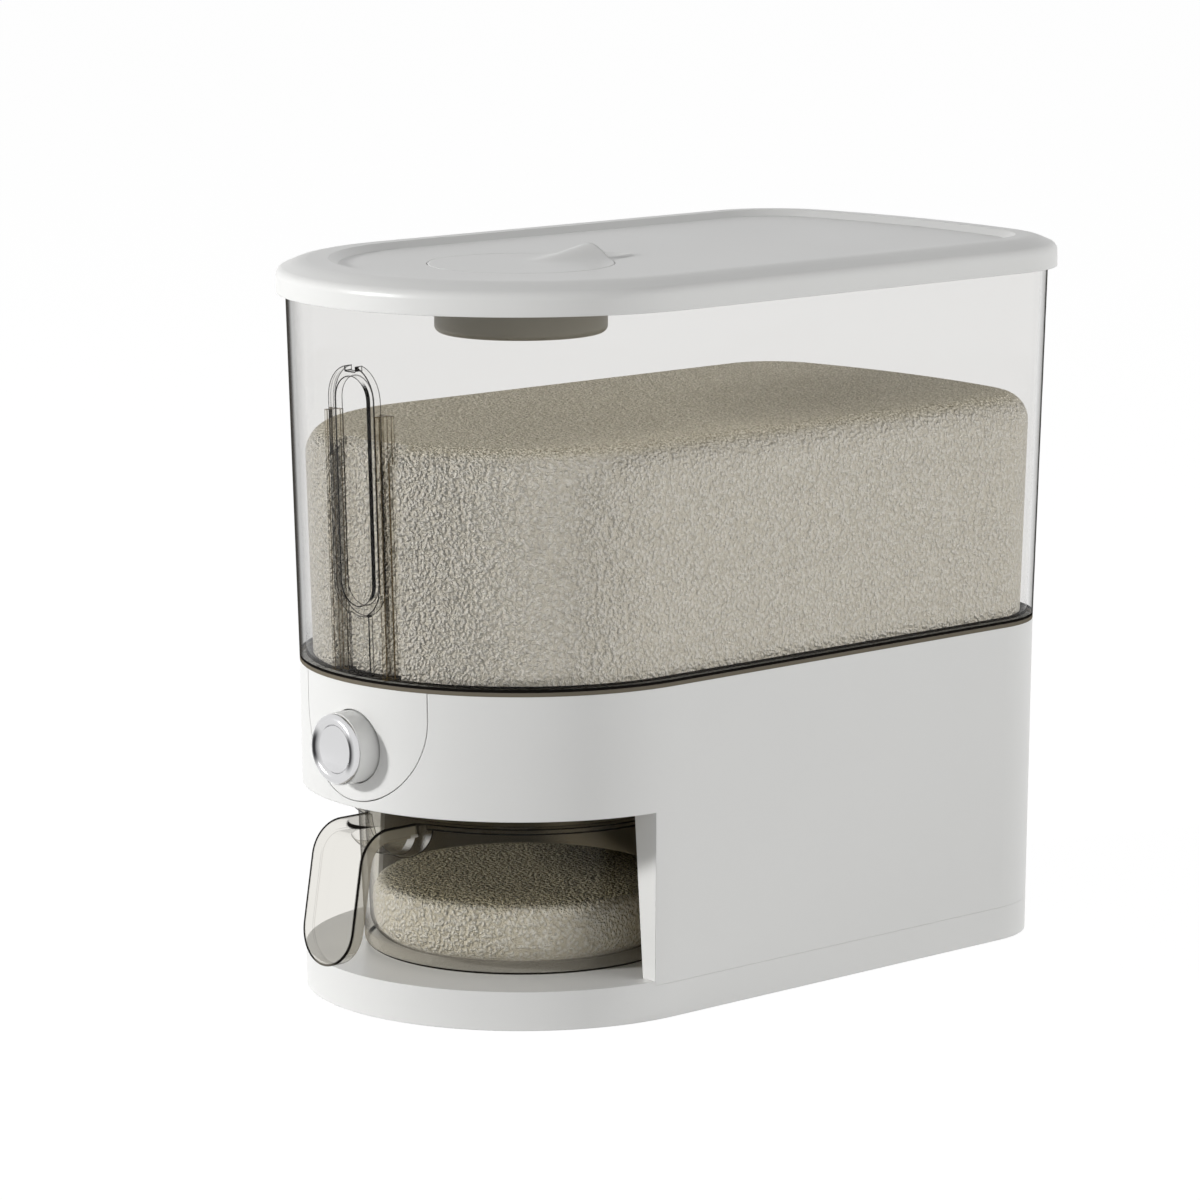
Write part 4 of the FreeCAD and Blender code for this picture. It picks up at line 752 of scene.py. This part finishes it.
print("levels of rice:", len(rice_levels()))

# %% [markdown]
# The loop and its rails reach into the tank, and real rice parts round them. A
# boolean would leave sharp walls, so the points at the front are drawn back by
# a smooth hollow instead: deep behind each rail and less in the middle.

# %% Hollow behind the loop and its rails
SLOT_DEEP, SLOT_MIDDLE = 6.4 * MM, 4.2 * MM
SLOT_HALF, SLOT_EDGE = 15.2 * MM, 3.4 * MM
RIB_HALF, RIB_EDGE = 8.6 * MM, 2.2 * MM
SLOT_FADE = 2.5 * MM


def soft_step(value, low, high):
    """0 below low, 1 above high, and a smooth rise between."""
    share = min(max((value - low) / (high - low), 0), 1)
    return share * share * (3 - 2 * share)


def slot_depth(x):
    """How far the rice stands back at x."""
    outer = 1 - soft_step(abs(x), SLOT_HALF, SLOT_HALF + SLOT_EDGE)
    middle = 1 - soft_step(abs(x), RIB_HALF, RIB_HALF + RIB_EDGE)
    return SLOT_DEEP * outer - (SLOT_DEEP - SLOT_MIDDLE) * middle


def slot_share(height):
    """The hollow fades out over the shoulder, so that the top stays whole."""
    return 1 - soft_step(height, RICE_TOP - SLOT_FADE, RICE_TOP)


print("hollow behind a rail:", round(slot_depth(RIB_HALF + RIB_EDGE) / MM, 1), "mm")

# %% [markdown]
# Now the levels become one mesh. The bottom and the top ring are each closed by
# a single face, and only the points in front of the middle are drawn back.

# %% Rice in the tank


def ring_of(mesh, points, height):
    """A closed loop of edges at a height."""
    verts = [mesh.verts.new((point.x, point.y, height)) for point in points]
    return [mesh.edges.new(pair) for pair in zip(verts, verts[1:] + verts[:1])]


def make_rice_fill():
    """The heap, drawn in wherever a rail or the loop stands in front of it."""
    mesh = bmesh.new()
    rings = []
    for height, gap in rice_levels():
        side, end = tank_inset(height)
        rings.append(ring_of(mesh, body_outline(side + gap, end + gap), height))
    for low, high in zip(rings, rings[1:]):
        bmesh.ops.bridge_loops(mesh, edges=low + high)
    for edges in (rings[0], rings[-1]):
        bmesh.ops.contextual_create(mesh, geom=edges)
    for vert in mesh.verts:
        if vert.co.y < 0:
            vert.co.y += slot_depth(vert.co.x) * slot_share(vert.co.z)
    piece = finish_piece(mesh, "rice_fill", rice, "body")
    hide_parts("rice_heap")


make_rice_fill()

# %% [markdown]
# The portion in the cup is a thick round cake of rice. A cylinder with a bevel
# would have one even round, but real rice slumps more at its upper edge. So half
# of its section is drawn, and spin turns it once about the cup's middle.

# %% Rice in the cup
PORTION_STEPS = 96
PORTION_SECTION = [
    (0, 17.2), (38, 17.2), (46, 17.25), (50.5, 18.4), (53.3, 20.9), (54.6, 24.8), (55, 30),
    (54.6, 34.6), (53, 37.6), (50, 39.4), (46, 40.2), (30, 40.5), (12, 40.7), (0, 40.7)]


def spun(mesh, section, steps):
    """Turn a half section, a list of radius and height, once about the cup's axis."""
    verts = [mesh.verts.new((radius, CUP_Y, height)) for radius, height in section]
    edges = [mesh.edges.new(pair) for pair in zip(verts, verts[1:])]
    bmesh.ops.spin(mesh, geom=verts + edges, cent=(0, CUP_Y, 0), axis=(0, 0, 1),
                   angle=2 * math.pi, steps=steps, use_merge=True)


def make_rice_portion():
    mesh = bmesh.new()
    section = [(radius * MM, height * MM) for radius, height in PORTION_SECTION]
    spun(mesh, section, PORTION_STEPS)
    finish_piece(mesh, "rice_portion", cup_rice, "drawer")


make_rice_portion()

# %% [markdown]
# The round cap of the drying canister lies above the cup, on the same upright
# axis. It carries a soft swelling for the fingers, which rises towards the cap's
# rear edge and stops there. Sculpting would not give the same swelling twice, so
# the cap is spun, and the points of its upper face are lifted by a bell curve
# that narrows as it falls.

# %% Cap with its swelling
CAP_RADIUS, CAP_TOP, CAP_THICK = 33.7 * MM, 263.85 * MM, 2.45 * MM
CAP_STEPS, CAP_RINGS = 160, 48
PLUG_OUTER, PLUG_INNER, PLUG_DEPTH = 29.3 * MM, 27.4 * MM, 6 * MM
SWELL_HEIGHT, SWELL_RUN, SWELL_WIDTH = 5.0 * MM, 28.5 * MM, 10.7 * MM


def swelling(x, y):
    """Height of the swelling over the cap at a place on it."""
    back = CUP_Y + CAP_RADIUS - y
    fall = max(1 - back / SWELL_RUN, 0) ** 1.25
    width = SWELL_WIDTH - 0.23 * back
    return SWELL_HEIGHT * fall * math.exp(-(x / width) ** 2) if fall else 0.0


def make_cap():
    mesh = bmesh.new()
    under = CAP_TOP - CAP_THICK
    section = [(CAP_RADIUS * i / CAP_RINGS, CAP_TOP) for i in range(CAP_RINGS + 1)]
    section += [(CAP_RADIUS, under), (PLUG_OUTER, under), (PLUG_OUTER, under - PLUG_DEPTH),
                (PLUG_INNER, under - PLUG_DEPTH), (PLUG_INNER, under), (0, under)]
    spun(mesh, section, CAP_STEPS)
    for vert in mesh.verts:
        if vert.co.z > CAP_TOP - 1e-6:
            vert.co.z += swelling(vert.co.x, vert.co.y)
    piece = finish_piece(mesh, "cap_with_swelling", white, "stopper")
    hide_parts("cap")


make_cap()

# %% [markdown]
# The button's return spring shortens as the button goes in, which a rigid solid
# can't. Here it is drawn again as a coil: a ring of wire is spun five times round
# the button's axis and moved along it at each step. The coil rides on no body,
# so it keeps its length and place.

# %% Return spring
COIL_RADIUS, COIL_WIRE, COIL_TURNS, TURN_STEPS = 6.2 * MM, 0.7 * MM, 5, 24
COIL_FRONT, COIL_BACK = -139.0 * MM, -124.8 * MM


def make_coil():
    mesh = bmesh.new()
    wire = bmesh.ops.create_circle(mesh, segments=10, radius=COIL_WIRE, cap_ends=False)["verts"]
    bmesh.ops.translate(mesh, verts=wire, vec=(COIL_RADIUS, COIL_FRONT, DISC_MIDDLE))
    steps = COIL_TURNS * TURN_STEPS
    bmesh.ops.spin(mesh, geom=wire + mesh.edges[:], cent=(0, COIL_FRONT, DISC_MIDDLE),
                   axis=(0, 1, 0), dvec=(0, (COIL_BACK - COIL_FRONT) / steps, 0),
                   angle=2 * math.pi * COIL_TURNS, steps=steps)
    bmesh.ops.holes_fill(mesh, edges=[edge for edge in mesh.edges if edge.is_boundary])
    coil = finish_piece(mesh, "return_coil", steel, None)
    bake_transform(coil)
    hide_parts("return_spring")


make_coil()

# %% [markdown]
# The studio is a pale floor in a white room. A white made by more light would
# bleach the dispenser too. So the floor and the room show full white only to the
# eye, in mirrors and through clear plastic, which Light Path tells apart, and
# they light the dispenser much more softly.

# %% Floor and room
FLOOR_SIZE, FLOOR_DROP, FLOOR_GLOW, ROOM_LIGHT = 8, 0.0004, 0.9, 0.2


def seen_white(finish):
    """1 for what the eye sees straight, in a mirror or through clear plastic."""
    eye, mirror, through = [finish.add("ShaderNodeLightPath", output=name) for name in
                            ("Is Camera Ray", "Is Glossy Ray", "Is Transmission Ray")]
    return finish.larger(finish.larger(eye, mirror), through)


def make_floor():
    finish = Finish("studio_floor")
    matt = finish.add("ShaderNodeBsdfDiffuse", None, {"Color": (0.82, 0.82, 0.82, 1)})
    glow = finish.add("ShaderNodeEmission", None, {"Color": (1, 1, 1, 1), "Strength": 1.08})
    shade = finish.add("ShaderNodeMixShader", None,
                       {0: seen_white(finish) * FLOOR_GLOW, 1: matt, 2: glow})
    mesh = bmesh.new()
    bmesh.ops.create_grid(mesh, x_segments=1, y_segments=1, size=FLOOR_SIZE)
    bmesh.ops.translate(mesh, verts=mesh.verts, vec=(0, 0, -FLOOR_DROP))
    data = bpy.data.meshes.new("studio_floor")
    mesh.to_mesh(data)
    mesh.free()
    floor = bpy.data.objects.new("studio_floor", data)
    bpy.context.collection.objects.link(floor)
    data.materials.append(finish.show(shade))


def make_room():
    world = bpy.data.worlds.new("studio_room")
    bpy.context.scene.world = world
    room = Finish("studio_room", world)
    strength = seen_white(room) * (1 - ROOM_LIGHT) + ROOM_LIGHT
    shade = room.add("ShaderNodeBackground", None, {"Color": (1, 1, 1, 1), "Strength": strength})
    room.add("ShaderNodeOutputWorld", None, {"Surface": shade})


make_floor()
make_room()
print("floor:", FLOOR_SIZE * 2, "m wide, room light:", ROOM_LIGHT)

# %% [markdown]
# Four lamps model the form. A small key from the front left, low down, rakes
# over the walls and throws the crisp shadows. A broad fill from the right rear
# lights the long side, and two weak broad ones from the front and the left lift
# the shadows. Only the key is seen in mirrors, as more would blur the chrome.

# %% Lamps
LAMP_AIM = Vector((0, 0, 0.13))


def lamp(name, azimuth, elevation, distance, size, watts, mirrored=False):
    """A square lamp aimed at the dispenser; azimuth is from the front, to the right."""
    a, e = math.radians(azimuth), math.radians(elevation)
    way = Vector((math.sin(a) * math.cos(e), -math.cos(a) * math.cos(e), math.sin(e)))
    light = bpy.data.lights.new(name, "AREA")
    light.energy = watts
    light.size = size
    obj = bpy.data.objects.new(name, light)
    turn = way.to_track_quat("Z", "Y").to_matrix().to_4x4()
    obj.matrix_world = Matrix.Translation(LAMP_AIM + way * distance) @ turn
    obj.visible_glossy = mirrored
    bpy.context.collection.objects.link(obj)


lamp("key_lamp", -22, 17, 2.4, 0.22, 37, mirrored=True)
lamp("front_lamp", 10, 12, 2.6, 1.4, 3)
lamp("fill_lamp", 115, 8, 2.6, 1.2, 34)
lamp("left_lamp", -74, 11, 2.6, 0.8, 8)

# %% [markdown]
